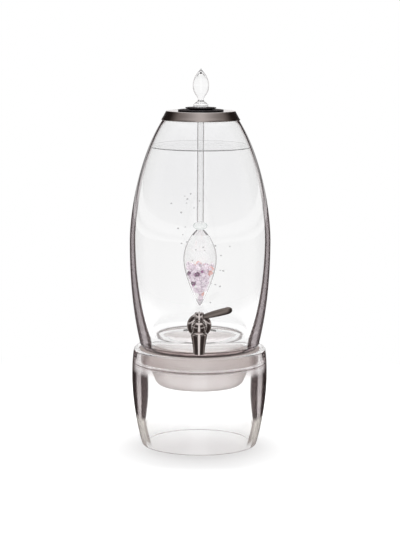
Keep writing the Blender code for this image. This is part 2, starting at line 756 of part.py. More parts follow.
def lever_arm_mesh():
    """A club-shaped arm: oval sections that grow along a rising line, closed by a round nose."""
    form = bmesh.new()
    rise = math.atan2(lever_rise, lever_reach)
    length = lever_reach / math.cos(rise)
    wider = lever_tip_width - lever_root_width
    deeper = lever_tip_depth - lever_root_depth
    sections = [(along, lever_root_width + wider * grown, lever_root_depth + deeper * grown)
                for along, grown in lever_shares]
    sections += [(along, lever_tip_width * share, lever_tip_depth * share)
                 for along, share in lever_nose_shares]
    rings = []
    for along, width, depth in sections:
        turns = [math.tau * side / lever_sides for side in range(lever_sides)]
        places = [(along * length, width / 2 * math.cos(turn), depth / 2 * math.sin(turn)) for turn in turns]
        rings.append([form.verts.new(place) for place in places])
    for near, far in zip(rings, rings[1:]):
        for side in range(lever_sides):
            after = (side + 1) % lever_sides
            form.faces.new((near[side], near[after], far[after], far[side]))
    form.faces.new(rings[0][::-1])
    form.faces.new(rings[-1])
    lift = Matrix.Translation((0, 0, lever_start_height)) @ Matrix.Rotation(-rise, 4, "Y")
    bmesh.ops.transform(form, matrix=lift, verts=form.verts)
    return mesh_from("lever_arm_form", form)


def make_lever(material, parent):
    edge = seat_gap
    outline = [(0.0, hub_low), (hub_radius - edge, hub_low), (hub_radius, hub_low + edge),
               (hub_radius, hub_top - edge), (hub_radius - edge, hub_top), (0.0, hub_top)]
    lever = turned("lever", outline, material, medium_sides, local_origin, parent)
    arm = cutter(add_object("lever_arm_form", lever_arm_mesh(), None, local_origin, parent))
    boolean(lever, arm, "UNION")
    head_floor = hub_top - screw_head_height / 2 - seat_gap
    bore = stem_radius + seat_gap
    head = screw_head_radius + seat_gap
    well = [(0.0, hub_low - overrun), (bore, hub_low - overrun), (bore, head_floor), (head, head_floor),
            (head, hub_top + overrun), (0.0, hub_top + overrun)]
    boolean(lever, cutter(turned("hub_well_form", well, None, small_sides, local_origin, parent)), "DIFFERENCE")
    return lever


def make_lever_screw(material, parent):
    head_low = hub_top - screw_head_height / 2
    head_top = hub_top + screw_head_height / 2
    low = head_low - (screw_shank_length - (head_low - stem_top) - seat_gap)
    socket_floor = head_top - screw_socket_depth
    dome = arc((screw_head_radius / 2, head_low), (screw_head_radius / 2, head_top - head_low), 0, 90, 4)
    outline = [(0.0, low), (screw_shank_radius, low), (screw_shank_radius, head_low)] + dome
    outline += [(screw_socket_radius, head_top), (screw_socket_radius, socket_floor), (0.0, socket_floor)]
    return turned("lever_screw", outline, material, small_sides, local_origin, parent)


def body_empty(name, place, parent=None):
    empty = bpy.data.objects.new(name, None)
    bpy.context.scene.collection.objects.link(empty)
    empty.location = Vector(place) - (Vector(parent.location) if parent else Vector())
    return empty


def main():
    for piece in list(bpy.data.objects):
        bpy.data.objects.remove(piece)
    clear = finish("clear_glass", (0.95, 0.96, 0.96), 0.03, transmission=1.0)
    frosted = finish("frosted_glass", (0.86, 0.84, 0.84), 0.45, transmission=0.4)
    steel = finish("brushed_steel", (0.42, 0.38, 0.36), 0.35, metallic=1.0)
    polished = finish("polished_steel", (0.55, 0.52, 0.50), 0.10, metallic=1.0)
    silicone = finish("clear_silicone", (0.80, 0.80, 0.78), 0.50)
    black = finish("black_silicone", (0.02, 0.02, 0.02), 0.45)
    gems = {"quartz": finish("clear_quartz", (0.90, 0.90, 0.92), 0.15, transmission=0.6),
            "rose": finish("rose_quartz", (0.92, 0.55, 0.55), 0.20, transmission=0.3),
            "amethyst": finish("amethyst", (0.16, 0.03, 0.14), 0.15, transmission=0.2)}

    axis = (0, glass_axis_y, 0)
    make_stand(clear)
    make_dish(frosted, body_empty("seat", axis))

    vessel_frame = body_empty("vessel", axis)
    hole = rod(vessel_base_radius, barrel_reach, shank_radius + wall_hole_room)
    hole_form = cutter(turned("tap_hole_form", hole, None, small_sides, tap_place(), toward_front=True))
    make_vessel(clear, vessel_frame, hole_form)
    make_washers(silicone, wall_form("outer_wall_form", outer_side(seat_gap)),
                 wall_form("inner_wall_form", inner_side(seat_gap)))
    make_nut(polished)
    make_rosette(polished)

    barrel = body_empty("tap_barrel", (0, barrel_y, 0))
    make_tap_body(polished, barrel.location)
    make_spout(polished, barrel.location)
    make_bonnet(polished, barrel.location)
    make_plug(polished, barrel)
    make_o_rings(black, barrel)
    make_lever(steel, barrel)
    make_lever_screw(polished, barrel)

    lid_frame = body_empty("lid", axis)
    make_lid(steel, lid_frame)
    make_gasket(silicone, lid_frame)

    stick_frame = body_empty("gem_stick", axis)
    make_stopper(black, stick_frame)
    make_grip(black, stick_frame)
    make_finial(clear, stick_frame)
    make_tube(clear, stick_frame)
    make_ball(clear, stick_frame)
    make_vial(clear, stick_frame)
    make_gems(gems, stick_frame)


main()
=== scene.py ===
# %% [markdown]
# # A glass water dispenser, dressed round its CAD frame
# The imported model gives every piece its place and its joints. This script adds what the
# solids leave plain: smooth blown glass, brushed steel, polished tap parts, tumbled stones
# and the water. All lengths are metres, and mm turns a length in millimetres into metres.

# %% Load the frame
import math
import random

import bpy
from mathutils import Euler, Matrix, Vector


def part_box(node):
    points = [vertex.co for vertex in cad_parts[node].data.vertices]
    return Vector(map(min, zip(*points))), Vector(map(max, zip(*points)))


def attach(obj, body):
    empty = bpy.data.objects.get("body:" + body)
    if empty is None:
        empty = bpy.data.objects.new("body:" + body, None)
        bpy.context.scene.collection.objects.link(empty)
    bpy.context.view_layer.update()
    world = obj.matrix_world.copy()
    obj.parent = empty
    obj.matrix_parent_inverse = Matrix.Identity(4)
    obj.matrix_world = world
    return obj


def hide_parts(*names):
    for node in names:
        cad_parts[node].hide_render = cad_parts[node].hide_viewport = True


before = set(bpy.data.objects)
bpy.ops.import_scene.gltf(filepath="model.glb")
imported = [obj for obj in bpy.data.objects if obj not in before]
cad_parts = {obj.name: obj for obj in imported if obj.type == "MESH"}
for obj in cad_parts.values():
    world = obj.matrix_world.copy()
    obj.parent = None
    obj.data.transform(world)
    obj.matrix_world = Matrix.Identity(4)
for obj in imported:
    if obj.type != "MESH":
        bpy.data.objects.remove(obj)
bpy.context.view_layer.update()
mm = 0.001


def middle(node):
    """The centre of a CAD node's box."""
    low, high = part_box(node)
    return [(a + b) / 2 for a, b in zip(low, high)]


glass_y = middle("vessel_glass")[1]
barrel_y = middle("tap_spout")[1]
glass_axis = Vector((0, glass_y, 0))
barrel_axis = Vector((0, barrel_y, 0))
print("nodes:", len(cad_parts), "glass axis y:", round(glass_y, 5), "barrel y:", round(barrel_y, 5))

# %% [markdown]
# ## Modelling by hand, in code
# Nearly everything here was turned, blown in a mould or spun, so it has one outline and an
# axis. A person would add a plane, merge it to one vertex, extrude that along the outline
# and spin it. The helper below does the same with the same operators. Doubles are merged
# first and normals are made consistent after that, because spin leaves both undone.


# %% Helpers for modelling
smooth_angle = math.radians(40)


def deselect():
    if bpy.context.mode != "OBJECT":
        bpy.ops.object.mode_set(mode="OBJECT")
    bpy.ops.object.select_all(action="DESELECT")


def pick(*pieces):
    """Select some pieces alone, the first of them active."""
    deselect()
    for piece in pieces:
        piece.select_set(True)
    bpy.context.view_layer.objects.active = pieces[0]


def settle(name):
    """Name the active piece, put its place into its mesh and shade it."""
    bpy.ops.object.mode_set(mode="OBJECT")
    piece = bpy.context.object
    piece.name = piece.data.name = name
    bpy.ops.object.transform_apply(location=True, rotation=True, scale=True)
    bpy.ops.object.shade_smooth_by_angle(angle=smooth_angle)
    return piece


# %% Helpers for turned and cut pieces
def turn(name, outline, steps, foot=glass_axis, along=Vector((0, 0, 1)), hollow=False):
    """Extrude one vertex along an outline of (radius, height) and spin it about the axis.

    An outline that starts off the axis comes back to its start, and makes a ring.
    """
    if outline[0][0] > 0:
        outline = outline + outline[:1]
    spots = [foot + Vector((radius, 0, 0)) + along * height for radius, height in outline]
    deselect()
    bpy.ops.mesh.primitive_plane_add(size=mm, location=spots[0])
    bpy.ops.object.mode_set(mode="EDIT")
    bpy.ops.mesh.select_all(action="SELECT")
    bpy.ops.mesh.merge(type="CENTER")
    for near, far in zip(spots, spots[1:]):
        bpy.ops.mesh.extrude_region_move(TRANSFORM_OT_translate={"value": far - near})
    bpy.ops.mesh.select_all(action="SELECT")
    bpy.ops.mesh.spin(steps=steps, angle=math.tau, center=foot, axis=along)
    bpy.ops.mesh.select_all(action="SELECT")
    bpy.ops.mesh.remove_doubles(threshold=0.005 * mm)
    bpy.ops.mesh.normals_make_consistent(inside=hollow)
    return settle(name)


def join(name, *pieces):
    """Make one piece of several, with all their finishes."""
    pick(*pieces)
    bpy.ops.object.join()
    return settle(name)


def cut(piece, other, operation="DIFFERENCE"):
    """Apply a Boolean to a piece and delete the other shape."""
    pick(piece)
    modifier = piece.modifiers.new(operation.title(), "BOOLEAN")
    modifier.operation, modifier.object, modifier.solver = operation, other, "EXACT"
    bpy.ops.object.modifier_apply(modifier=modifier.name)
    bpy.data.objects.remove(other)
    bpy.ops.object.shade_smooth_by_angle(angle=smooth_angle)
    return piece


def drill(piece, radius, start, end, steps, foot, along):
    """Cut a round hole between two distances along an axis."""
    outline = [(0, start), (radius, start), (radius, end), (0, end)]
    cut(piece, turn("drilled_hole", outline, steps, foot, along))


def own_copy(source, place, size):
    """A moved and scaled copy of a piece, with its own mesh."""
    copy = source.copy()
    copy.data = source.data.copy()
    bpy.context.scene.collection.objects.link(copy)
    copy.location, copy.scale = place, (size, size, size)
    return copy


def coat(piece, *finishes):
    """Give a piece its finishes, and print how many faces they have to cover."""
    for finish in finishes:
        piece.data.materials.append(finish)
    print(piece.name, "faces:", len(piece.data.polygons))


# %% Helpers for outlines
def arc(centre, reach, start, end, steps):
    """Points on an ellipse's arc, angles in degrees from the radial direction."""
    turns = [math.radians(start + (end - start) * step / steps) for step in range(steps + 1)]
    return [(centre[0] + reach[0] * math.cos(t), centre[1] + reach[1] * math.sin(t)) for t in turns]


def spread(low, high, count):
    """Evenly spaced numbers, both ends with them."""
    return [low + (high - low) * step / (count - 1) for step in range(count)]


def eased(points, per_span=5):
    """A smooth curve through a few outline points, as a blown or turned form flows."""
    ends = [points[0]] + list(points) + [points[-1]]
    curve = []
    for a, b, c, d in zip(ends, ends[1:], ends[2:], ends[3:]):
        for step in range(per_span):
            t = step / per_span
            curve.append(tuple(
                0.5 * (2 * q + (r - p) * t + (2 * p - 5 * q + 4 * r - s) * t ** 2
                       + (3 * q - p - 3 * r + s) * t ** 3) for p, q, r, s in zip(a, b, c, d)))
    return curve + [points[-1]]


# %% [markdown]
# ## Building materials from nodes
# Every finish starts from what the real one is. One function adds a node with its settings
# and its links, and one turns a screen colour into the linear numbers that Blender uses.


# %% Helpers for materials
def tone(code):
    """A hex screen colour as linear red, green, blue and alpha."""
    parts = [int(code[start:start + 2], 16) / 255 for start in (0, 2, 4)]
    linear = [p / 12.92 if p <= 0.04045 else ((p + 0.055) / 1.055) ** 2.4 for p in parts]
    return (*linear, 1.0)


def put(tree, kind, settings=None, **sockets):
    """Add a shader node by its kind, such as Mix for ShaderNodeMix.

    Settings are a dictionary, or one word for the operation. A socket is named with _ for a
    space, or s and its number. A value is set, an output is linked, and a node is linked by
    its first output that is in use.
    """
    if isinstance(settings, str):
        settings = {"operation": settings}
    node = tree.nodes.new("ShaderNode" + kind)
    for key, value in (settings or {}).items():
        if key == "stops":
            ramp = node.color_ramp
            while len(ramp.elements) < len(value):
                ramp.elements.new(1.0)
            for element, (place, colour) in zip(ramp.elements, value):
                element.position, element.color = place, tone(colour)
        else:
            setattr(node, key, value)
    for key, value in sockets.items():
        socket = node.inputs[int(key[1:])] if key[1:].isdigit() else node.inputs[key.replace("_", " ")]
        if isinstance(value, bpy.types.Node):
            value = next(end for end in value.outputs if end.enabled)
        if isinstance(value, bpy.types.NodeSocket):
            tree.links.new(value, socket)
        else:
            socket.default_value = value
    return node


colour_mix = {"data_type": "RGBA"}
colour_product = {"data_type": "RGBA", "blend_type": "MULTIPLY"}
smooth_step = {"interpolation_type": "SMOOTHSTEP"}


def blank(name):
    """A new material, its tree, its output and the Object coordinates for its patterns."""
    material = bpy.data.materials.new(name)
    material.use_nodes = True
    tree = material.node_tree
    tree.nodes.clear()
    place = put(tree, "TexCoord").outputs["Object"]
    return material, tree, tree.nodes.new("ShaderNodeOutputMaterial"), place


def let_lamps_through(tree, output, shader, shade):
    """Glass passes lamp and soft light as a tinted shadow, and lets out what is trapped in a wall."""
    path = put(tree, "LightPath")
    trapped = put(tree, "Math", "GREATER_THAN", s0=path.outputs["Glossy Depth"], s1=1.5)
    soft = put(tree, "Math", "MAXIMUM", s0=path.outputs["Is Shadow Ray"], s1=path.outputs["Is Diffuse Ray"])
    lighting = put(tree, "Math", "MAXIMUM", s0=soft, s1=trapped)
    clear = put(tree, "BsdfTransparent", Color=shade)
    mixed = put(tree, "MixShader", s0=lighting, s1=shader, s2=clear)
    tree.links.new(mixed.outputs["Shader"], output.inputs["Surface"])


# %% [markdown]
# ## Camera and studio
# The camera stands 2.7 m in front and looks 8 degrees down, as the photograph's did. The
# floor and the world are white only for what the camera, a reflection or glass sees, so
# that the lamps can stay at a plain level and the floor still holds a soft shadow.

# %% Camera
bpy.context.scene.view_settings.view_transform = "Standard"
frame_height, focal_pixels, sensor = 533, 1788, 36.0
camera_reach, camera_height = 2.682, 0.660
swing, look_down, roll = math.radians(0.4), math.radians(8.22), math.radians(0.29)
deselect()
bpy.ops.object.camera_add(location=(camera_reach * math.sin(swing), glass_y - camera_reach * math.cos(swing),
                                    camera_height))
camera = bpy.context.object
camera.name = "studio_camera"
camera.data.sensor_width = sensor
camera.data.lens = focal_pixels / frame_height * sensor
camera.rotation_euler = (Matrix.Rotation(swing, 3, "Z") @ Matrix.Rotation(math.pi / 2 - look_down, 3, "X")
                         @ Matrix.Rotation(roll, 3, "Z")).to_euler()
bpy.context.scene.camera = camera
print("lens", round(camera.data.lens, 1), "mm")

# %% [markdown]
# Polished metal shows whatever stands round it. In a product studio that is a few tall
# softboxes with darkness between them, a pale line of wall at eye level, and the pale floor
# and ceiling. They are drawn for mirrored rays alone, the brightest box in front.


# %% World
def softbox_pattern(tree, direction):
    """A bright softbox in front, dimmer ones at the sides and back, and pale bands by the height."""
    parts = put(tree, "SeparateXYZ", Vector=direction)
    azimuth = put(tree, "Math", "ARCTAN2", s0=parts.outputs["Y"], s1=parts.outputs["X"])
    fourfold = put(tree, "Math", "MULTIPLY", s0=azimuth, s1=4.0)
    wave = put(tree, "Math", "COSINE", s0=fourfold)
    side_tones = (0.0, "362F2E"), (0.45, "48413F"), (0.62, "6C6664"), (0.78, "989290")
    around = put(tree, "ValToRGB", {"stops": side_tones}, Fac=wave)
    sideways = put(tree, "Math", "SINE", s0=azimuth)
    widening = put(tree, "Math", {"operation": "MULTIPLY", "use_clamp": True}, s0=parts.outputs["Z"],
                   s1=-0.28)
    ahead = put(tree, "Math", "SUBTRACT", s0=widening, s1=sideways)
    front_tones = (0.92, "000000"), (0.965, "7A7472"), (0.992, "FFFFFF")
    front = put(tree, "ValToRGB", {"stops": front_tones}, Fac=ahead)
    boxes = put(tree, "Mix", {"data_type": "RGBA", "blend_type": "LIGHTEN"}, s0=1.0, s6=around, s7=front)
    height = put(tree, "Math", "ABSOLUTE", s0=parts.outputs["Z"])
    pale_shares = ((0.0, "000000"), (0.03, "FFFFFF"), (0.085, "FFFFFF"), (0.10, "000000"), (0.66, "000000"),
                   (0.86, "FFFFFF"))
    bands = put(tree, "ValToRGB", {"stops": pale_shares}, Fac=height)
    return put(tree, "Mix", colour_mix, s0=bands, s6=boxes, s7=tone("F4F2F2"))


def ray_kinds(tree):
    """Two switches: the ray is seen straight or through glass, or it is mirrored before any glass."""
    path = put(tree, "LightPath")
    inside = put(tree, "Math", {"operation": "MULTIPLY", "use_clamp": True},
                 s0=path.outputs["Transmission Depth"], s1=path.outputs["Is Glossy Ray"])
    straight = put(tree, "Math", "MAXIMUM",
                   s0=path.outputs["Is Camera Ray"], s1=path.outputs["Is Transmission Ray"])
    seen = put(tree, "Math", "MAXIMUM", s0=straight, s1=inside)
    mirrored = put(tree, "Math", {"operation": "SUBTRACT", "use_clamp": True},
                   s0=path.outputs["Is Glossy Ray"], s1=seen)
    return seen, mirrored


world = bpy.data.worlds.new("white_studio")
bpy.context.scene.world = world
world.use_nodes = True
sky = world.node_tree
sky.nodes.clear()
ambient_strength = 0.62
seen, mirrored = ray_kinds(sky)
toward = put(sky, "TexCoord")
ambient = put(sky, "Background", Color=tone("FFFFFF"), Strength=ambient_strength)
white = put(sky, "Background", Color=tone("FFFFFF"), Strength=1.0)
boxes = put(sky, "Background", Color=softbox_pattern(sky, toward.outputs["Generated"]), Strength=1.0)
plain = put(sky, "MixShader", s0=seen, s1=ambient, s2=white)
both = put(sky, "MixShader", s0=mirrored, s1=plain, s2=boxes)
put(sky, "OutputWorld", Surface=both)
print("world nodes:", len(sky.nodes))

# %% [markdown]
# The floor is matt and white, with the lamps' shadow and a painted soft contact shadow. Away
# from the object it turns to an even white for what is seen, so that no horizon shows.

# %% Floor
floor_paint, tree, output, place = blank("matt_white_floor")
seen, mirrored = ray_kinds(tree)
reach = put(tree, "VectorMath", "LENGTH", Vector=place)
shadow_edge, white_edge, lift_strength = 180 * mm, 750 * mm, 0.16
away = put(tree, "MapRange", smooth_step, Value=reach, From_Min=shadow_edge, From_Max=white_edge)
seen_away = put(tree, "Math", "MULTIPLY", s0=seen, s1=away)
lift = put(tree, "Math", "MULTIPLY", s0=seen, s1=lift_strength)
under = put(tree, "VectorMath", "DISTANCE", Vector=place)
under.inputs[1].default_value = glass_axis
# Painted shadow: the floor's colour and its glow darken round the glass axis, out to 230 mm.
painted_shadow_reach = 230 * mm
near = put(tree, "Math", "DIVIDE", s0=under, s1=painted_shadow_reach)
painted_shadow_stops = ((0.0, "DEDEDE"), (0.26, "DEDEDE"), (0.40, "DADADA"), (0.52, "E2E2E2"), (0.68, "E9E9E9"),
                  (0.80, "F4F4F4"), (0.95, "FFFFFF"))
painted_shadow = put(tree, "ValToRGB", {"stops": painted_shadow_stops}, Fac=near)
chalk_with_painted_shadow = put(tree, "Mix", colour_product, s0=1.0, s6=tone("F6F6F6"), s7=painted_shadow)
matt = put(tree, "BsdfDiffuse", Color=chalk_with_painted_shadow)
glow = put(tree, "Emission", Color=painted_shadow, Strength=lift)
lit = put(tree, "AddShader", s0=matt, s1=glow)
even = put(tree, "Emission", Color=tone("FFFFFF"), Strength=1.0)
# Mirrored rays see the drawn studio softboxes on the floor too.
strips = put(tree, "Emission", Color=softbox_pattern(tree, place), Strength=1.0)
plain = put(tree, "MixShader", s0=seen_away, s1=lit, s2=even)
shown = put(tree, "MixShader", s0=mirrored, s1=plain, s2=strips)
tree.links.new(shown.outputs["Shader"], output.inputs["Surface"])
deselect()
floor_size, floor_gap = 12.0, 0.2 * mm
bpy.ops.mesh.primitive_plane_add(size=floor_size, location=(0, 0, -floor_gap))
floor = settle("studio_floor")
coat(floor, floor_paint)
print("floor:", floor_size, "m across")


# %% Lamps
def softbox(name, place, aim, width, height, watts):
    """An area lamp that faces a point and shows in no mirror and through no glass."""
    deselect()
    bpy.ops.object.light_add(type="AREA", location=place)
    lamp = bpy.context.object
    lamp.name = name
    lamp.data.shape, lamp.data.size, lamp.data.size_y = "RECTANGLE", width, height
    lamp.data.energy = watts
    lamp.rotation_euler = (Vector(aim) - Vector(place)).to_track_quat("-Z", "Y").to_euler()
    lamp.visible_camera = lamp.visible_glossy = lamp.visible_transmission = False


target = (0, 0, 0.28)
softbox("overhead_softbox", (0.0, 0.75, 2.0), target, 1.5, 1.5, 38)
softbox("left_softbox", (-1.9, -1.5, 1.3), target, 1.0, 1.6, 12)
softbox("right_softbox", (1.9, -1.5, 1.2), target, 1.0, 1.6, 10)
softbox("front_strip", (0.05, -2.9, 0.75), target, 0.18, 1.2, 5)

# %% [markdown]
# ## Glass finishes
# Clear soda glass has an IOR of 1.5 and is almost without colour. Where a wall is seen on
# edge, light that enters it is trapped between its two faces and comes from the dark parts
# of the room, so each wall shows a dark band as wide as it is thick. Here those bands are
# painted shade: a Layer Weight (Facing) ramp on the outer face paints them into the colour
# from every side, and the inner face stays clear. The vessel's wall is thick below and thin
# above, so the facing at which its inner face shows is worked out from the height. Zones
# paint other shade below or above a height, a painted shade greys the upper wall a little,
# and rings paint the thin dark lines where a foot, a floor or a ledge is seen on edge.


# %% Clear glass
almost_clear = tone("FDFDFD")


def glass(name, edges, zones=(), wall_line=None, haze_and_painted_shade=None, ring=None, level=(0.80, 0.96), ior=1.5,
          shade="FCFCFC", roughness=0.0):
    """Clear glass, with painted shade where light enters: dark edge bands by the facing angle and, where
    given, by the height.
    """
    material, tree, output, place = blank(name)
    weight = put(tree, "LayerWeight", Blend=0.5)
    facing = weight.outputs["Facing"]
    parts = put(tree, "SeparateXYZ", Vector=place)
    height = parts.outputs["Z"]
    if wall_line:
        foot, top, foot_facing, top_facing = wall_line
        thick = put(tree, "MapRange", Value=height, From_Min=foot, From_Max=top, To_Min=1.0, To_Max=0.0)
        squared = put(tree, "Math", "MULTIPLY", s0=thick, s1=thick)
        line = put(tree, "Math", "MULTIPLY_ADD", s0=squared, s1=foot_facing - top_facing, s2=top_facing)
        facing = put(tree, "MapRange", {"clamp": False}, Value=facing, From_Min=line, From_Max=1.0,
                     To_Min=0.5, To_Max=1.0)
    # Painted shade: the facing ramp darkens the glass where a wall is seen on edge.
    colour = put(tree, "ValToRGB", {"stops": edges}, Fac=facing)
    for start, end, painted_stops in zones:
        rise = put(tree, "MapRange", smooth_step, Value=height, From_Min=start, From_Max=end)
        zone_painted_shade = put(tree, "ValToRGB", {"stops": painted_stops}, Fac=facing)
        colour = put(tree, "Mix", colour_mix, s0=rise, s6=colour, s7=zone_painted_shade)
    # Painted shade that greys the upper wall a little.
    if haze_and_painted_shade:
        start, end, painted_stops = haze_and_painted_shade
        growth = put(tree, "MapRange", smooth_step, Value=height, From_Min=start, From_Max=end)
        veil = put(tree, "ValToRGB", {"stops": painted_stops}, Fac=weight.outputs["Facing"])
        colour = put(tree, "Mix", colour_product, s0=growth, s6=colour, s7=veil)
    # Painted dark lines at the given heights.
    if ring:
        start, end = ring[0][0], ring[-1][0]
        climb = put(tree, "MapRange", Value=height, From_Min=start, From_Max=end)
        lines = [((z - start) / (end - start), tint) for z, tint in ring]
        band = put(tree, "ValToRGB", {"stops": lines}, Fac=climb)
        colour = put(tree, "Mix", colour_product, s0=1.0, s6=colour, s7=band)
    side = put(tree, "NewGeometry")
    entered = put(tree, "Mix", colour_mix, s0=side.outputs["Backfacing"], s6=colour, s7=almost_clear)
    slopes = put(tree, "SeparateXYZ", Vector=side.outputs["Normal"])
    steep = put(tree, "Math", "ABSOLUTE", s0=slopes.outputs["Z"])
    flat = put(tree, "MapRange", smooth_step, Value=steep, From_Min=level[0], From_Max=level[1])
    evened = put(tree, "Mix", colour_mix, s0=flat, s6=entered, s7=almost_clear)
    # Each face passes the square root of its colour, so its square gives the whole painted shade at once.
    once = put(tree, "Gamma", Color=evened, Gamma=2.0)
    shader = put(tree, "BsdfPrincipled", Base_Color=once, Roughness=roughness, IOR=ior,
                 Transmission_Weight=1.0)
    let_lamps_through(tree, output, shader, tone(shade))
    return material


# %% Glass of the vessel and the stand
# Painted shade: the vessel's dark edge bands above and below, its greyer upper wall, and the dark U and lines
# of its foot.
vessel_edges = ((0.0, "FFFFFF"), (0.50, "FCFCFC"), (0.56, "DAD6D6"), (0.605, "D0CACA"), (0.645, "382E2E"),
                (1.0, "181010"))
vessel_low_edges = ((0.0, "FFFFFF"), (0.485, "FFFFFF"), (0.505, "5E5454"), (0.555, "645A5A"),
                    (0.59, "B4ABAD"), (0.70, "B4ABAD"), (0.76, "6A6062"), (1.0, "5E5456"))
upper_painted_shade = (0.0, "F5F5F6"), (0.25, "F7F7F8"), (0.5, "FCFCFC"), (1.0, "FFFFFF")
foot_ring_painted_shade = ((146 * mm, "4A4040"), (152 * mm, "4A4040"), (153 * mm, "C0B2B2"), (154.6 * mm, "D2C6C6"),
                   (155.6 * mm, "908686"), (156.6 * mm, "908686"), (157.5 * mm, "FFFFFF"),
                   (170 * mm, "FFFFFF"))
blown_glass = glass("blown_clear_glass", vessel_edges, zones=((430 * mm, 320 * mm, vessel_low_edges),),
                    wall_line=(174 * mm, 334 * mm, 0.455, 0.62), haze_and_painted_shade=(290 * mm, 440 * mm, upper_painted_shade),
                    ring=foot_ring_painted_shade, level=(0.985, 0.998))
inner_edges = (0.0, "FEFEFE"), (1.0, "FAFAFA")
inner_face = glass("clear_glass_inner_face", inner_edges)
# Painted shade: a dark line where the vessel's floor is seen on edge.
floor_line = ((150 * mm, "FFFFFF"), (155.4 * mm, "FFFFFF"), (156.3 * mm, "8E8888"), (157.5 * mm, "8E8888"),
              (158.4 * mm, "FFFFFF"), (165 * mm, "FFFFFF"))
wall_inside = glass("clear_vessel_inner_face", inner_edges, ring=floor_line)
# Painted shade: the stand's edge bands by zone, and dark lines at its foot and its ledge.
stand_edges = ((0.0, "FFFFFF"), (0.485, "FCFAFA"), (0.505, "524848"), (0.60, "4A4040"), (0.63, "B8B0B0"),
               (0.70, "B4ACAC"), (0.75, "382E2E"), (1.0, "302828"))
stand_low_edges = ((0.0, "FFFFFF"), (0.44, "FCFBFA"), (0.465, "A8A09C"), (0.50, "B0A8A4"), (0.54, "CCC6C0"),
                   (0.84, "CCC6C0"), (0.92, "B0A8A4"), (1.0, "A8A09C"))
rim_edges = ((0.0, "FFFFFF"), (0.46, "F4F0F0"), (0.55, "C8C0C0"), (0.62, "ECE8E8"), (0.74, "D8D2D2"),
             (0.82, "8A8080"), (1.0, "5A5050"))
foot_edges = (0.0, "FFFFFF"), (0.58, "FCFBFA"), (0.64, "B8B0AC"), (1.0, "A8A09C")
stand_lines = ((0.0, "B8B2B2"), (1.5 * mm, "B8B2B2"), (2 * mm, "FFFFFF"), (126.8 * mm, "FFFFFF"),
               (127.6 * mm, "AAA2A2"), (128.5 * mm, "AAA2A2"), (129.3 * mm, "FFFFFF"), (136 * mm, "FFFFFF"))
pressed_glass = glass("pressed_clear_glass", stand_edges,
                      zones=((52 * mm, 40 * mm, stand_low_edges), (112 * mm, 124 * mm, rim_edges),
                             (15 * mm, 4 * mm, foot_edges)),
                      wall_line=(40 * mm, 110 * mm, 0.56, 0.375), ring=stand_lines, level=(0.35, 0.60))
print("wall finishes:", blown_glass.name, wall_inside.name, pressed_glass.name)

# %% [markdown]
# The stick is clear lampworked glass throughout. Each stretch has its own painted edge shade,
# because a thin blown wall, a tube, a solid ball and a fused neck show different amounts of
# dark edge. Its foot is ground flat, which leaves a fine matt pitting about 0.6 mm wide here.

# %% Glass of the stick
# Painted shade: each stretch of the stick darkens towards its outline, the neck most.
stick_edges = (0.0, "FFFFFF"), (0.62, "FCFCFC"), (0.72, "A8A4A4"), (0.84, "706A6A"), (1.0, "564F4F")
tube_edges = (0.0, "FFFFFF"), (0.25, "F6F6F6"), (0.40, "A8A4A4"), (0.70, "6E6A6A"), (1.0, "4A4646")
bead_edges = (0.0, "F9FBFA"), (0.45, "F4F7F6"), (0.70, "CFD6D3"), (1.0, "98A29F")
neck_edges = (0.0, "FFFFFF"), (0.38, "F4F0F2"), (0.50, "4A3A42"), (1.0, "1A0E14")
tip_edges = (0.0, "ECEAEC"), (0.30, "D8D4D8"), (0.55, "A4A0A4"), (1.0, "706C70")
drop_edges = (0.0, "FFFFFF"), (0.50, "FCFCFC"), (0.66, "D8D4D4"), (0.82, "C8C4C4"), (1.0, "BCB8B8")
lampworked_glass = glass("lampworked_clear_glass", stick_edges)
drawn_tube_glass = glass("drawn_tube_glass", tube_edges)
solid_bead_glass = glass("solid_bead_glass", bead_edges, shade="F0F4F2")
fused_neck_glass = glass("fused_neck_glass", neck_edges)
drawn_tip_glass = glass("drawn_tip_glass", tip_edges)
blown_drop_glass = glass("blown_drop_glass", drop_edges)
ground_glass, tree, output, place = blank("ground_glass_foot")
pit_width = 0.6 * mm
pits = put(tree, "TexNoise", Vector=place, Scale=1 / pit_width, Detail=2.0)
dull = put(tree, "MapRange", Value=pits, To_Min=0.25, To_Max=0.45)
# Painted shade: the ground foot darkens towards its outline.
rim_line = put(tree, "LayerWeight", Blend=0.5)
ground_edges = (0.0, "FFFFFF"), (0.6, "FAFAFA"), (1.0, "A8A4A4")
pale = put(tree, "ValToRGB", {"stops": ground_edges}, Fac=rim_line.outputs["Facing"])
shader = put(tree, "BsdfPrincipled", Base_Color=pale, Roughness=dull, IOR=1.5, Transmission_Weight=0.2)
let_lamps_through(tree, output, shader, tone("F4F4F4"))


def line_inside(piece, is_inside, finish=inner_face):
    """Give an inner finish to the faces whose radius and height pass a test."""
    slot = len(piece.data.materials)
    piece.data.materials.append(finish)
    count = 0
    for face in piece.data.polygons:
        centre = face.center - glass_axis
        if is_inside(math.hypot(centre.x, centre.y), centre.z):
            face.material_index = slot
            count += 1
    print(piece.name, "inner faces:", count)


# %% [markdown]
# Sandblasted glass is the same glass with a pitted skin that scatters light. The pits are
# far too fine to show, so roughness stands for them, with a grain of 0.8 mm that is coarser
# than the real one. A soft noise of about 30 mm gives the uneven haze that blasting by hand
# leaves.

# %% Frosted glass
frosted_glass, tree, output, place = blank("sandblasted_glass")
haze_width = 30 * mm
haze_and_painted_shade = put(tree, "TexNoise", Vector=place, Scale=1 / haze_width, Detail=3.0)
milk = put(tree, "ValToRGB", {"stops": ((0.3, "F2EDEC"), (0.7, "FAF7F6"))}, Fac=haze_and_painted_shade)
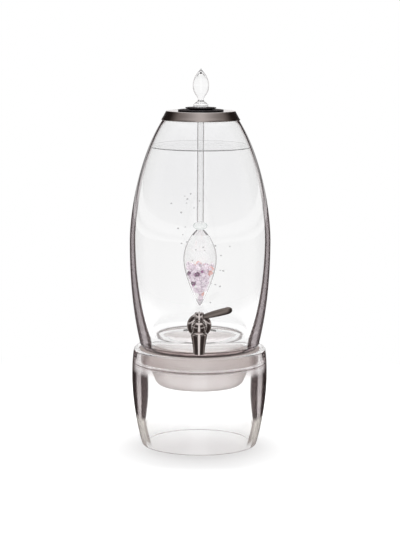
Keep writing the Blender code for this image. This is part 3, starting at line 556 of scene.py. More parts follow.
# Painted shade: the collar above the ledge is darker than the bowl.
heights = put(tree, "SeparateXYZ", Vector=place)
painted_shade_rise = put(tree, "MapRange", Value=heights.outputs["Z"], From_Min=126 * mm, From_Max=131 * mm)
painted_collar_shade = put(tree, "Mix", colour_product, s0=painted_shade_rise, s6=milk, s7=tone("DFDAD8"))
# Painted shade: the dish darkens towards its outline.
slant = put(tree, "LayerWeight", Blend=0.5)
painted_outline_shade_stops = (0.0, "FFFFFF"), (0.30, "F5F3F2"), (0.62, "D4CFCE"), (1.0, "B3ADAA")
painted_outline_shade = put(tree, "ValToRGB", {"stops": painted_outline_shade_stops}, Fac=slant.outputs["Facing"])
frost = put(tree, "Mix", colour_product, s0=1.0, s6=painted_collar_shade, s7=painted_outline_shade)
grain_width = 0.8 * mm
grain = put(tree, "TexNoise", Vector=place, Scale=1 / grain_width, Detail=2.0)
pits = put(tree, "Bump", Strength=0.15, Distance=0.05 * mm, Height=grain)
shader = put(tree, "BsdfPrincipled", Base_Color=frost, Roughness=0.55, IOR=1.5, Transmission_Weight=0.35,
             Normal=pits)
let_lamps_through(tree, output, shader, tone("EEEBEB"))
print("finishes of glass:", [finish.name for finish in bpy.data.materials if "glass" in finish.name])

# %% [markdown]
# ## Metal and rubber finishes
# The lid and the lever are stainless steel, brushed while they turned or along their
# length, with a warm grey tone. Brush lines are about 0.2 mm apart. They are drawn as
# noise that is stretched along the stroke, and 0.6 mm wide, because finer lines don't show
# at this distance. The tap is plated and polished to a dark mirror. The stopper and the
# disc are matt black silicone.


# %% Brushed steel
brush_width = 0.6 * mm


def brushed_steel(name, stroke, edges, smoothest=0.28, roughest=0.44):
    """Steel whose lines run along the axis named by stroke: round Z, or along X, with painted shade from
    edges by the facing angle.
    """
    material, tree, output, place = blank(name)
    spot = put(tree, "Mapping", Vector=place, Location=(0, -glass_y, 0))
    parts = put(tree, "SeparateXYZ", Vector=spot)
    across = put(tree, "Math", "MULTIPLY", s0=parts.outputs["X"], s1=parts.outputs["X"])
    deep = put(tree, "Math", "MULTIPLY_ADD", s0=parts.outputs["Y"], s1=parts.outputs["Y"], s2=across)
    radius = put(tree, "Math", "SQRT", s0=deep)
    if stroke == "round":
        lines = put(tree, "CombineXYZ", X=radius, Z=parts.outputs["Z"])
    else:
        short = put(tree, "Math", "MULTIPLY", s0=parts.outputs["X"], s1=0.02)
        lines = put(tree, "CombineXYZ", X=short, Y=parts.outputs["Y"], Z=parts.outputs["Z"])
    brush = put(tree, "TexNoise", Vector=lines, Scale=1 / brush_width, Detail=4.0)
    facing = put(tree, "LayerWeight", Blend=0.5)
    # Painted shade: the base colour follows edges by the facing angle, darker towards the outline.
    base = put(tree, "ValToRGB", {"stops": edges}, Fac=facing.outputs["Facing"])
    streak = put(tree, "MapRange", Value=brush, To_Min=0.86, To_Max=1.12)
    streaked = put(tree, "VectorMath", "SCALE", Vector=base, Scale=streak)
    worn = put(tree, "MapRange", Value=brush, To_Min=smoothest, To_Max=roughest)
    ridges = put(tree, "Bump", Strength=0.12, Distance=0.03 * mm, Height=brush)
    shader = put(tree, "BsdfPrincipled", Base_Color=streaked, Metallic=1.0, Roughness=worn, Normal=ridges)
    tree.links.new(shader.outputs["BSDF"], output.inputs["Surface"])
    return material


# The lid's warm grey tone, with painted shade that darkens its ends.
lid_tones_and_painted_shade = ((0.0, "D2C9C5"), (0.28, "B4AAA5"), (0.42, "8A807B"), (0.46, "70665F"), (0.49, "6A5F5A"),
             (1.0, "5E5450"))
lid_steel = brushed_steel("spun_brushed_steel", "round", lid_tones_and_painted_shade)
# Painted highlight: the lid's flat top gets a whiter and smoother copy of the steel.
highlit_crown_steel = brushed_steel("spun_steel_crown_painted_highlight", "round", ((0.0, "F4F0EE"), (1.0, "EEE9E7")), 0.06, 0.12)
# The lever's tone, with painted shade that darkens it towards its outline.
lever_tones_and_painted_shade = (0.0, "8E847E"), (0.40, "7C736E"), (0.80, "544C49"), (1.0, "3A3331")
lever_steel = brushed_steel("straight_brushed_steel", "along", lever_tones_and_painted_shade)
print("steels:", lid_steel.name, highlit_crown_steel.name, lever_steel.name)


# %% Polished plating
smear_width = 9 * mm


def plated(name, face, edge, roughness):
    """Polished plating: a mirror with painted shade that darkens it towards its outline."""
    material, tree, output, place = blank(name)
    facing = put(tree, "LayerWeight", Blend=0.5)
    # Painted shade: the base colour darkens by the facing angle.
    base = put(tree, "ValToRGB", {"stops": ((0.0, face), (0.7, edge))}, Fac=facing.outputs["Facing"])
    smear = put(tree, "TexNoise", Vector=place, Scale=1 / smear_width, Detail=3.0)
    gloss = put(tree, "MapRange", Value=smear, To_Min=roughness * 0.7, To_Max=roughness * 1.5)
    shader = put(tree, "BsdfPrincipled", Base_Color=base, Metallic=1.0, Roughness=gloss)
    tree.links.new(shader.outputs["BSDF"], output.inputs["Surface"])
    return material


dark_chrome = plated("polished_dark_chrome", "E6DDDA", "A8A09C", roughness=0.13)
bright_chrome = plated("polished_bright_chrome", "F2EEEC", "C4BEBB", roughness=0.12)
print("platings:", dark_chrome.name, bright_chrome.name)


# %% Silicone rubber
skin_width = 0.5 * mm


def silicone(name, colour, roughness, transmission=0.0):
    """Moulded silicone rubber: an even colour with a faint skin texture of about 0.5 mm."""
    material, tree, output, place = blank(name)
    skin = put(tree, "TexNoise", Vector=place, Scale=1 / skin_width, Detail=2.0)
    worn = put(tree, "MapRange", Value=skin, To_Min=roughness * 0.85, To_Max=roughness * 1.15)
    bump = put(tree, "Bump", Strength=0.1, Distance=0.02 * mm, Height=skin)
    shade = put(tree, "MapRange", Value=skin, To_Min=0.92, To_Max=1.08)
    tinted = put(tree, "VectorMath", "SCALE", Scale=shade)
    tinted.inputs[0].default_value = tone(colour)[:3]
    shader = put(tree, "BsdfPrincipled", Base_Color=tinted, IOR=1.41, Roughness=worn,
                 Transmission_Weight=transmission, Normal=bump)
    tree.links.new(shader.outputs["BSDF"], output.inputs["Surface"])
    return material


black_silicone = silicone("black_silicone_rubber", "1C181A", 0.5)
clear_silicone = silicone("milky_silicone_rubber", "F0EFEC", 0.3, transmission=0.85)
print("rubbers:", black_silicone.name, clear_silicone.name)

# %% [markdown]
# ## The vessel
# On the real object it is blown into a mould: an egg about 213 mm wide with a thick foot, a
# heavy lower wall and a short neck. It could be a sculpted sphere, but a spun outline gives
# the two true faces of the wall, and glass is drawn by its two faces. Under the lid the
# shoulder is drawn thinner than it is, because its full wall shows as a dark ring there.
# The hole for the tap is drilled, so a cylinder is cut out of it.

# %% Form of the vessel
belly_radius, belly_height = 106.4 * mm, 312.4 * mm
upper_egg, lower_egg = (223.2 * mm, 1.692), (283.6 * mm, 2.17)
thin_wall, added_wall, thick_end, thinning = 4.5 * mm, 12.5 * mm, 174 * mm, 160 * mm


def egg_radius(height):
    """The vessel's outer radius: an egg that is longer below its belly than above."""
    reach, share = upper_egg if height > belly_height else lower_egg
    return belly_radius * math.sqrt(1 - (abs(height - belly_height) / reach) ** share)


def wall_at(height):
    """The vessel's wall: 17 mm at the foot, 4.5 mm from 334 mm up."""
    rise = min(max((height - thick_end) / thinning, 0.0), 1.0)
    return thin_wall + added_wall * (1 - rise) ** 2


print("wall at the belly:", round(wall_at(belly_height) * 1000, 2), "mm")

# %% Outline of the vessel
foot_height, corner_top, foot_radius = 146 * mm, 158 * mm, 76 * mm
shoulder_height, neck_radius, neck_wall, neck_top = 494.3 * mm, 51 * mm, 4 * mm, 500.2 * mm
low_side, floor_height, floor_radius = 174 * mm, 153 * mm, 68 * mm
corner_reach = egg_radius(corner_top) - foot_radius
vessel_outline = [(0.0, foot_height)]
vessel_outline += arc((foot_radius, corner_top), (corner_reach, corner_top - foot_height), -90, 0, 12)
vessel_outline += [(egg_radius(z), z) for z in spread(corner_top, shoulder_height, 46)[1:]]
neck_base = (shoulder_height + neck_top) / 2
vessel_outline += eased([(neck_radius + 2.5 * mm, neck_base - 1.25 * mm), (neck_radius + 0.6 * mm, neck_base),
                         (neck_radius, neck_base + 1.25 * mm)], 3)
lip = neck_wall / 2
vessel_outline += arc((neck_radius - lip, neck_top - lip), (lip, lip), 0, 180, 8)
vessel_outline += [(neck_radius - neck_wall, 498 * mm), (47.4 * mm, 496 * mm), (49.5 * mm, 494.4 * mm),
                   (52.2 * mm, 493.9 * mm)]
vessel_outline += [(egg_radius(z) - wall_at(z), z)
                   for z in spread(shoulder_height - 0.7 * mm, low_side, 42)]
inner_reach = (egg_radius(low_side) - wall_at(low_side) - floor_radius, low_side - floor_height)
vessel_outline += arc((floor_radius, low_side), inner_reach, 0, -90, 10)[1:] + [(0.0, floor_height)]
print("vessel outline:", len(vessel_outline), "points")

# %% Vessel, drilled for the tap
vessel = turn("vessel_body", vessel_outline, 144)
tap_height, toward_front = 200.4 * mm, Vector((0, -1, 0))
tap_foot = Vector((0, glass_y, tap_height))
hole_radius, hole_start, hole_end = 7 * mm, 70 * mm, 112 * mm
drill(vessel, hole_radius, hole_start, hole_end, 40, tap_foot, toward_front)
lined_low, lined_top, skin_depth = 151 * mm, 499 * mm, 2 * mm


def is_vessel_inside(radius, z):
    outer = egg_radius(z) if corner_top < z < shoulder_height else neck_radius + 30 * mm
    return lined_low < z < lined_top and radius < outer - skin_depth


coat(vessel, blown_glass)
line_inside(vessel, is_vessel_inside, wall_inside)
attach(vessel, "vessel")
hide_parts("vessel_glass")

# %% [markdown]
# ## The stand
# A pressed glass skirt, open below, with a round rim and a ledge inside. It is spun too,
# from the same bulging outline as the CAD solid, with more steps for smooth edge lines.

# %% Stand
stand_belly, stand_belly_height, stand_height = 102.65 * mm, 105 * mm, 149.2 * mm
foot_ring, rim_radius, rim, stand_wall = 87.35 * mm, 100.25 * mm, 4.1 * mm, 7 * mm


def bulge(height, radius, radius_height, share):
    """The stand's outline: a bulge that passes through one known radius."""
    reach = abs(radius_height - stand_belly_height) / (1 - (radius / stand_belly) ** 2) ** (1 / share)
    return stand_belly * math.sqrt(max(1 - (abs(height - stand_belly_height) / reach) ** share, 0.0))


def stand_radius(height):
    """The stand's outer radius, from its foot ring up to its rounded rim."""
    if height < stand_belly_height:
        return bulge(height, foot_ring, 0.0, 1.8)
    return bulge(height, rim_radius, stand_height - rim, 2.6)


fillet, edge = 2 * mm, 1 * mm
rim_centre = (rim_radius - rim, stand_height - rim)
stand_outline = [(stand_radius(z), z) for z in spread(edge, rim_centre[1], 30)[:-1]]
stand_outline += arc(rim_centre, (rim, rim), 0, 180, 14)
ledge_top, ledge_low, ledge_radius, nose = 128.6 * mm, 124.9 * mm, 84.45 * mm, 1.85 * mm
above, below = stand_radius(ledge_top) - stand_wall, stand_radius(ledge_low) - stand_wall
stand_outline += arc((above - fillet, ledge_top + fillet), (fillet, fillet), 0, -90, 4)
stand_outline += arc((ledge_radius + nose, ledge_top - nose), (nose, nose), 90, 270, 8)
stand_outline += arc((below - fillet, ledge_low - fillet), (fillet, fillet), 90, 0, 4)
stand_outline += [(stand_radius(z) - stand_wall, z) for z in spread(ledge_low - 2.5 * mm, edge, 22)]
stand_outline += arc((foot_ring - stand_wall + edge, edge), (edge, edge), 180, 270, 3)
stand_outline += arc((foot_ring - edge, edge), (edge, edge), 270, 360, 3)
stand = turn("stand_skirt", stand_outline, 240)
coat(stand, pressed_glass)
line_inside(stand, lambda radius, z: 2 * mm < z < 144 * mm and radius < stand_radius(z) - 3 * mm)
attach(stand, "stand")
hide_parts("stand_glass")

# %% [markdown]
# ## The frosted dish
# A stepped bowl for ice. Its collar stands on the stand's ledge and carries the vessel's
# rounded corner. The real one is pressed and then sandblasted all over.

# %% Dish
collar_inner, collar_outer, dish_foot, bowl_radius = 85.95 * mm, 90.95 * mm, 128.9 * mm, 71.45 * mm
bowl_depth, bowl_wall, bowl_floor = 36.9 * mm, 3.5 * mm, 55 * mm
collar_top = 148.7 * mm
corner = (bowl_radius - bowl_floor, bowl_depth)


def squared_arc(centre, reach, start, end, steps, power=0.72):
    """Like an arc, but fuller in its corner, as a pressed bowl is."""
    turns = [math.radians(start + (end - start) * step / steps) for step in range(steps + 1)]
    return [(centre[0] + reach[0] * max(math.cos(t), 0.0) ** power,
             centre[1] - reach[1] * max(-math.sin(t), 0.0) ** power) for t in turns]


dish_outline = [(0.0, dish_foot - bowl_depth)] + squared_arc((bowl_floor, dish_foot), corner, -90, 0, 16)
dish_outline += [(bowl_radius + 1 * mm, dish_foot), (collar_outer, dish_foot)]
dish_outline += [(collar_outer, collar_top - 1.2 * mm), (collar_outer - 0.4 * mm, collar_top - 0.4 * mm),
                 (collar_outer - 1.2 * mm, collar_top), (collar_inner + 1.2 * mm, collar_top),
                 (collar_inner + 0.4 * mm, collar_top - 0.1 * mm), (collar_inner, collar_top - 0.4 * mm),
                 (collar_inner, dish_foot + bowl_wall), (bowl_radius, dish_foot + bowl_wall)]
inner_corner = (corner[0] - bowl_wall, corner[1] - bowl_wall)
dish_outline += squared_arc((bowl_floor, dish_foot), inner_corner, 0, -90, 16)
dish_outline += [(0.0, dish_foot - bowl_depth + bowl_wall)]
dish = turn("ice_dish", dish_outline, 144)
coat(dish, frosted_glass)
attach(dish, "seat")
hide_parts("seat_dish")

# %% [markdown]
# ## The blown stick
# One piece of lampworked glass: a drop-shaped finial, a tube, a solid ball and a vial.
# The CAD has four solids for it. Here one outer skin runs from tip to top, and two inner
# skins make the hollows. The inner skins face into the hollows, so their normals are turned
# inwards before the three are joined.

# %% Outlines of the stick
ball_height, ball_radius, ball_half = 334.8 * mm, 11.0 * mm, 6.45 * mm
tube_radius, neck_end, glass_skin = 5.1 * mm, 5.6 * mm, 1.3 * mm
vial_tip, vial_radius, vial_height = 207.9 * mm, 25.3 * mm, 120.7 * mm
vial_shares = ((0.0, 0.0), (0.13, 0.035), (0.30, 0.11), (0.50, 0.205), (0.69, 0.31), (0.84, 0.41),
               (0.95, 0.51), (1.0, 0.61), (0.96, 0.71), (0.84, 0.80), (0.66, 0.88), (0.44, 0.95),
               (neck_end / vial_radius, 1.0))
finial_foot, finial_radius, finial_height = 513.5 * mm, 12.2 * mm, 58.2 * mm
finial_shares = ((0.43, 0.0), (0.86, 0.002), (0.92, 0.035), (0.91, 0.065), (0.76, 0.10), (0.57, 0.13),
                 (0.42, 0.158), (0.36, 0.196), (0.43, 0.25), (0.55, 0.29), (0.72, 0.343), (0.86, 0.40),
                 (0.97, 0.48), (1.0, 0.57), (0.93, 0.67), (0.77, 0.76), (0.61, 0.825), (0.42, 0.88),
                 (0.20, 0.93), (0.08, 0.965), (0.0, 1.0))
vial_curve = eased([(r * vial_radius, vial_tip + z * vial_height) for r, z in vial_shares])
finial_curve = eased([(r * finial_radius, finial_foot + z * finial_height) for r, z in finial_shares])
low_turn = math.degrees(math.acos(neck_end / ball_radius))
high_turn = math.degrees(math.acos(tube_radius / ball_radius))
ball_curve = arc((0.0, ball_height), (ball_radius, ball_half), -low_turn, high_turn, 18)
print("stick from", round(vial_tip * 1000, 1), "to", round((finial_foot + finial_height) * 1000, 1), "mm")

# %% Skins of the stick
skin = turn("stick_skin", vial_curve + ball_curve + [(tube_radius, finial_foot)] + finial_curve, 72)
vial_room = [(r - glass_skin, z) for r, z in vial_curve if r > 1.4 * glass_skin]
room_floor, room_top = (0.0, vial_room[0][1] - 1.5 * mm), (0.0, vial_room[-1][1] + 0.3 * mm)
vial_hollow = turn("vial_hollow", [room_floor] + vial_room + [room_top], 72, hollow=True)
bore = tube_radius - glass_skin
tube_floor = ball_height + ball_half - 2 * mm
bore_outline = [(0.0, tube_floor), (bore, tube_floor + 1 * mm), (bore, finial_foot + 0.5 * mm),
                (0.0, finial_foot + 2 * mm)]
tube_hollow = turn("tube_hollow", bore_outline, 48, hollow=True)
print("skins:", len(skin.data.polygons), len(vial_hollow.data.polygons), len(tube_hollow.data.polygons))

# %% Finishes along the stick
neck_low, tip_top = vial_tip + 0.942 * vial_height, vial_tip + 12 * mm
drop_low, drop_top = finial_foot + 5.5 * mm, finial_foot + 0.91 * finial_height
stretches = ((vial_tip + vial_height, ball_height + ball_half, solid_bead_glass),
             (ball_height, finial_foot, drawn_tube_glass), (neck_low, ball_height, fused_neck_glass),
             (0.0, tip_top, drawn_tip_glass), (drop_low, drop_top, blown_drop_glass),
             (finial_foot - 0.1 * mm, drop_low, ground_glass), (drop_top, 1.0, inner_face))
coat(skin, lampworked_glass, *[finish for low, high, finish in stretches])
for face in skin.data.polygons:
    face.material_index = next((slot for slot, (low, high, finish) in enumerate(stretches, 1)
                                if low < face.center.z < high), 0)
for hollow in vial_hollow, tube_hollow:
    coat(hollow, inner_face)
stick = join("blown_stick", skin, vial_hollow, tube_hollow)
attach(stick, "gem_stick")
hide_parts("finial_glass", "stem_tube", "stem_ball", "vial_glass")

# %% [markdown]
# ## Stones in the vial
# Tumbled chips of clear quartz, rose quartz and amethyst, 5 to 11 mm, poured into the vial.
# Four chips are modelled from balls by cutting flats and wearing the edges round. Each
# stone is a copy of one of them with its own mesh. They are dropped in one by one: each
# tries many places and keeps the lowest, which packs them as pouring does.

# %% Four chips
chooser = random.Random(4)


def chip(name, stretch, flats):
    """A ball with flats cut off at random and its edges worn round."""
    deselect()
    bpy.ops.mesh.primitive_ico_sphere_add(subdivisions=3, radius=1.0)
    bpy.ops.object.mode_set(mode="EDIT")
    for _ in range(flats):
        bpy.ops.mesh.select_all(action="SELECT")
        away = Vector([chooser.uniform(-1, 1) for _ in range(3)]).normalized()
        bpy.ops.mesh.bisect(plane_co=away * chooser.uniform(0.62, 0.84), plane_no=away,
                            use_fill=True, clear_outer=True)
    bpy.ops.mesh.select_all(action="SELECT")
    bpy.ops.mesh.remove_doubles(threshold=0.04)
    bpy.ops.transform.resize(value=stretch)
    bpy.ops.mesh.normals_make_consistent(inside=False)
    piece = settle(name)
    soften = piece.modifiers.new("Worn", "BEVEL")
    soften.width, soften.segments, soften.limit_method = 0.09, 2, "ANGLE"
    soften.angle_limit = math.radians(25)
    bpy.ops.object.modifier_apply(modifier="Worn")
    bpy.ops.object.shade_smooth_by_angle(angle=math.radians(50))
    return piece


chips = [chip("chip_0", (1.0, 0.86, 0.74), 9), chip("chip_1", (1.0, 0.94, 0.86), 8),
         chip("chip_2", (1.05, 0.74, 0.70), 10), chip("chip_3", (0.96, 0.9, 0.7), 7)]
print("chip faces:", [len(piece.data.polygons) for piece in chips])


# %% Pour them in
def room_at(height):
    """The vial's inner radius at a height."""
    for (r1, z1), (r2, z2) in zip(vial_room, vial_room[1:]):
        if z1 <= height <= z2:
            return r1 + (r2 - r1) * (height - z1) / (z2 - z1)
    return 0.0


def lowest(x, y, size, stones):
    """The lowest height at which a stone clears the vial's wall and the stones below it."""
    height = vial_tip + size
    while height < vial_tip + 100 * mm:
        lean = (room_at(height) - room_at(height - size * 0.7)) / (size * 0.7)
        if room_at(height) - math.hypot(x, y) > size * math.sqrt(1 + lean * lean):
            break
        height += 0.5 * mm
    for px, py, pz, psize in stones:
        flat = (px - x) ** 2 + (py - y) ** 2
        reach = (psize + size) ** 2
        if flat < reach:
            height = max(height, pz + math.sqrt(reach - flat))
    return height


heap_top, pour_radius, most_stones, tries_each = 279 * mm, 22 * mm, 400, 90
stones = []
for _ in range(most_stones):
    size = chooser.uniform(2.3, 4.8) * mm
    tries = []
    for _ in range(tries_each):
        reach, angle = pour_radius * math.sqrt(chooser.random()), chooser.uniform(0, math.tau)
        x, y = reach * math.cos(angle), reach * math.sin(angle)
        tries.append((lowest(x, y, size, stones), x, y))
    height, x, y = min(tries)
    if height + size > heap_top:
        break
    stones.append((x, y, height, size))
print("stones poured:", len(stones))

# %% [markdown]
# The kinds follow what shows at the front: mostly quartz, a few rose stones and some dark
# amethyst. Copies of one kind are joined to one piece, because they never move apart here.

# %% Kinds of the stones
accents = {"amethyst": [(-5, 258, 1), (6, 265, 1), (-6, 245, 1), (-18, 262, 1)],
           "rose": [(16, 264, 4), (-7, 271, 1), (4, 226, 1)]}
behind = ("quartz", "quartz", "amethyst", "quartz", "rose", "quartz")
front_end, back_start = 2 * mm, 8 * mm
kind_of = {}
for kind, spots in accents.items():
    for x, z, count in spots:
        near = sorted((i for i in range(len(stones)) if i not in kind_of and stones[i][1] < front_end),
                      key=lambda i: math.hypot(stones[i][0] - x * mm, stones[i][2] - z * mm))
        kind_of.update({i: kind for i in near[:count]})
for index, (x, y, height, size) in enumerate(stones):
    if y >= back_start and index not in kind_of:
        kind_of[index] = behind[index % len(behind)]
print("kinds given:", {kind: list(kind_of.values()).count(kind) for kind in accents})

# %% Place the stones
piles = {"quartz": [], "rose": [], "amethyst": []}
swelling = 1.18
for index, (x, y, height, size) in enumerate(stones):
    copy = own_copy(chips[index % 4], (x, glass_y + y, height), size * swelling)
    copy.rotation_euler = Euler([chooser.uniform(0, math.tau) for _ in range(3)])
    piles[kind_of.get(index, "quartz")].append(copy)
for piece in chips:
    bpy.data.objects.remove(piece)
print("placed:", {kind: len(pile) for kind, pile in piles.items()})


# %% Finishes of the stones
def stone(name, colours, veil, roughness, transmission, veil_shade):
    """Polished stone: two or three tones in veils a few millimetres wide, under a soft gloss."""
    material, tree, output, place = blank(name)
    veils = put(tree, "TexNoise", Vector=place, Scale=1 / veil, Detail=5.0, Distortion=0.8)
    body = put(tree, "ValToRGB", {"stops": colours}, Fac=veils)
    polish = put(tree, "MapRange", Value=veils, To_Min=roughness * 0.7, To_Max=roughness * 1.4)
    shader = put(tree, "BsdfPrincipled", Base_Color=body, IOR=1.54, Roughness=polish,
                 Transmission_Weight=transmission, Specular_IOR_Level=0.2)
    let_lamps_through(tree, output, shader, tone(veil_shade))
    return material


quartz_tones = (0.32, "FFF8FD"), (0.5, "FBEAF6"), (0.68, "EBD8E8")
rose_tones = (0.35, "FFCEC6"), (0.6, "F6ACA2")
amethyst_tones = (0.35, "9E2C88"), (0.5, "6C125C"), (0.7, "420A38")
finishes = {"quartz": stone("tumbled_clear_quartz", quartz_tones, 6 * mm, 0.3, 0.12, "F4F0F4"),
            "rose": stone("tumbled_rose_quartz", rose_tones, 7 * mm, 0.3, 0.10, "E8C8C4"),
            "amethyst": stone("tumbled_amethyst", amethyst_tones, 6 * mm, 0.3, 0.0, "B080A8")}
for kind, pile in piles.items():
    heap = join(f"stones_{kind}", *pile)
    heap.data.materials.clear()
    coat(heap, finishes[kind])
    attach(heap, "gem_stick")
    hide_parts(*[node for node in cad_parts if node.startswith(f"gem_{kind}")])
    print(kind, "stones:", len(pile))

# %% [markdown]
# ## Lid, stopper and disc
# The lid is a spun cap with a bead at its edge and a hole in its top. A stopper fills the
# hole and a flared disc sits on it. All are turned outlines with small rounded edges,
# because a real edge always catches a line of light.

# %% Lid
lid_top, lid_low, lid_top_radius, lid_low_radius = 508 * mm, 494.6 * mm, 51.7 * mm, 59.1 * mm
sheet, lid_hole = 1.5 * mm, 28 * mm
lean = (lid_low_radius - lid_top_radius) / (lid_top - lid_low)
lid_outline = arc((lid_low_radius - 0.5 * mm, lid_low + 0.5 * mm), (0.5 * mm, 0.5 * mm), -90, 20, 4)
lid_outline += [(lid_low_radius - lean * rise, lid_low + rise) for rise in (3 * mm, 7 * mm)]
lid_outline += arc((lid_top_radius - 0.6 * mm, lid_top - 1.2 * mm), (1.2 * mm, 1.2 * mm), 25, 90, 5)
lid_outline += [(45 * mm, lid_top), (36 * mm, lid_top), (lid_hole + 0.3 * mm, lid_top),
                (lid_hole, lid_top - 0.3 * mm), (lid_hole, lid_top - sheet),
                (lid_top_radius - sheet, lid_top - sheet), (lid_low_radius - sheet, lid_low + 0.3 * mm)]
lid = turn("lid_cap", lid_outline, 128)
coat(lid, lid_steel, highlit_crown_steel)
# The faces of the flat top take the painted highlight.
for face in lid.data.polygons:
    face.material_index = int(face.center.z > lid_top - 0.5 * mm)
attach(lid, "lid")
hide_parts("lid_shell")

# %% Stopper and disc
plug_radius, brim, stopper_low, stopper_top = 27.7 * mm, 34.4 * mm, 499 * mm, 509.9 * mm
stem_bore = 5.4 * mm
stopper_outline = [(stem_bore, stopper_low), (plug_radius - 1.6 * mm, stopper_low),
                   (plug_radius - 1.2 * mm, stopper_low + 0.5 * mm), (plug_radius, 508.3 * mm),
                   (brim - 0.4 * mm, 508.3 * mm), (brim, 508.7 * mm)]
stopper_outline += arc((brim - 0.6 * mm, stopper_top - 0.6 * mm), (0.6 * mm, 0.6 * mm), 0, 90, 4)
stopper_outline += [(stem_bore, stopper_top)]
stopper = turn("stopper_bung", stopper_outline, 96)
disc_low, disc_top, disc_radius = 510.2 * mm, 513.2 * mm, 23.2 * mm
disc_outline = [(stem_bore, disc_low), (17.5 * mm, disc_low), (17.8 * mm, disc_low + 0.2 * mm),
                (disc_radius - 0.3 * mm, disc_top - 1.2 * mm)]
disc_outline += arc((disc_radius - 0.6 * mm, disc_top - 0.6 * mm), (0.6 * mm, 0.6 * mm), -10, 90, 5)
disc_outline += [(stem_bore, disc_top)]
disc = turn("grip_plate", disc_outline, 96)
for piece, node in (stopper, "stopper_plug"), (disc, "grip_disc"):
    coat(piece, black_silicone)
    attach(piece, "gem_stick")
    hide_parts(node)

# %% [markdown]
# ## The tap
# A ball-shaped body stands on a shank that passes through the rosette and the glass. A bell
# spout hangs from it, and a bonnet nut closes it above. The body is a turned ball with the
# shank joined on by a Boolean, then bored for the plug, as it is machined.

# %% Rosette
rosette_front = glass_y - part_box("tap_rosette")[0][1]
rosette_back = rosette_front - 5.6 * mm
rosette_outline = arc((9.5 * mm, rosette_back), (8.5 * mm, 5.6 * mm), 0, 90, 14)
rosette_outline += [(6.5 * mm, rosette_front), (6.3 * mm, rosette_front - 0.2 * mm),
                    (6.3 * mm, rosette_front - 1.2 * mm)]
rosette_outline += arc((9.5 * mm, rosette_back), (7.3 * mm, 4.4 * mm), 90, 0, 10)
rosette = turn("rosette_cup", rosette_outline, 72, tap_foot, toward_front)
print("rosette's face:", round(rosette_front * 1000, 1), "mm in front of the glass axis")

# %% Tap body
body_bottom, body_top = 194 * mm, 208.4 * mm
body_radius, body_half = 11.0 * mm, 10.6 * mm
nipple_low, plug_well, well_floor, outlet = 185 * mm, 5.15 * mm, 190.5 * mm, 3.6 * mm
low_turn = math.degrees(math.asin((body_bottom - tap_height) / body_half))
high_turn = math.degrees(math.asin((body_top - tap_height) / body_half))
body_outline = [(outlet, nipple_low), (7.3 * mm, nipple_low), (7.6 * mm, nipple_low + 0.3 * mm),
                (7.6 * mm, body_bottom)]
body_outline += arc((0.0, tap_height), (body_radius, body_half), low_turn, high_turn, 22)
body_outline += [(plug_well, body_top), (plug_well, well_floor), (outlet, well_floor)]
body = turn("tap_ball_body", body_outline, 64, barrel_axis)
shank_end = glass_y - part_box("tap_body")[1][1]
shank_outline = [(3 * mm, shank_end), (5.7 * mm, shank_end), (6 * mm, shank_end + 0.3 * mm),
                 (6 * mm, rosette_front + 0.3 * mm), (6.3 * mm, rosette_front + 0.3 * mm),
                 (6.3 * mm, rosette_front + 6 * mm), (3 * mm, rosette_front + 6 * mm)]
shank = turn("tap_shank", shank_outline, 48, tap_foot, toward_front)
cut(body, shank, "UNION")
drill(body, 3 * mm, shank_end - 5 * mm, rosette_front + 12 * mm, 32, tap_foot, toward_front)

# %% Spout and bonnet
spout_top, spout_low, spout_shoulder, spout_bore = 193.7 * mm, 161.4 * mm, 12.1 * mm, 6.6 * mm
spout_shares = ((0.66, 0.0), (0.68, 0.02), (0.74, 0.25), (0.84, 0.52), (0.94, 0.74), (1.0, 0.86),
                (0.97, 0.93), (0.86, 0.985), (0.80, 1.0))
spout_length = spout_top - spout_low
spout_outline = eased([(r * spout_shoulder, spout_low + z * spout_length) for r, z in spout_shares], 4)
spout_outline += [(7.9 * mm, spout_top), (7.9 * mm, 184.7 * mm), (spout_bore, 184.7 * mm),
                  (spout_bore, spout_low + 0.4 * mm), (spout_bore + 0.4 * mm, spout_low)]
spout = turn("spout_bell", spout_outline, 72, barrel_axis)
bonnet_low, bonnet_foot, bonnet_top, bonnet_bore = 206.7 * mm, 208.7 * mm, 211.5 * mm, 3.05 * mm
bonnet_outline = [(bonnet_bore, bonnet_low), (4.85 * mm, bonnet_low), (4.85 * mm, bonnet_foot),
                  (6.6 * mm, bonnet_foot), (6.9 * mm, bonnet_foot + 0.3 * mm),
                  (6.9 * mm, bonnet_top - 0.3 * mm), (6.6 * mm, bonnet_top), (bonnet_bore, bonnet_top)]
bonnet = turn("bonnet_ring", bonnet_outline, 48, barrel_axis)
for piece, node in (rosette, "tap_rosette"), (body, "tap_body"), (spout, "tap_spout"), (bonnet, "bonnet_nut"):
    coat(piece, dark_chrome)
    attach(piece, "vessel")
    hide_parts(node)

# %% [markdown]
# ## The lever
# A club-shaped arm is forged in one with its hub. The arm starts from a small circle that
# is extruded along its rising line and scaled at each step, as one would by hand. Then it
# is united with the turned hub. A dome screw with a hexagon socket holds it on.

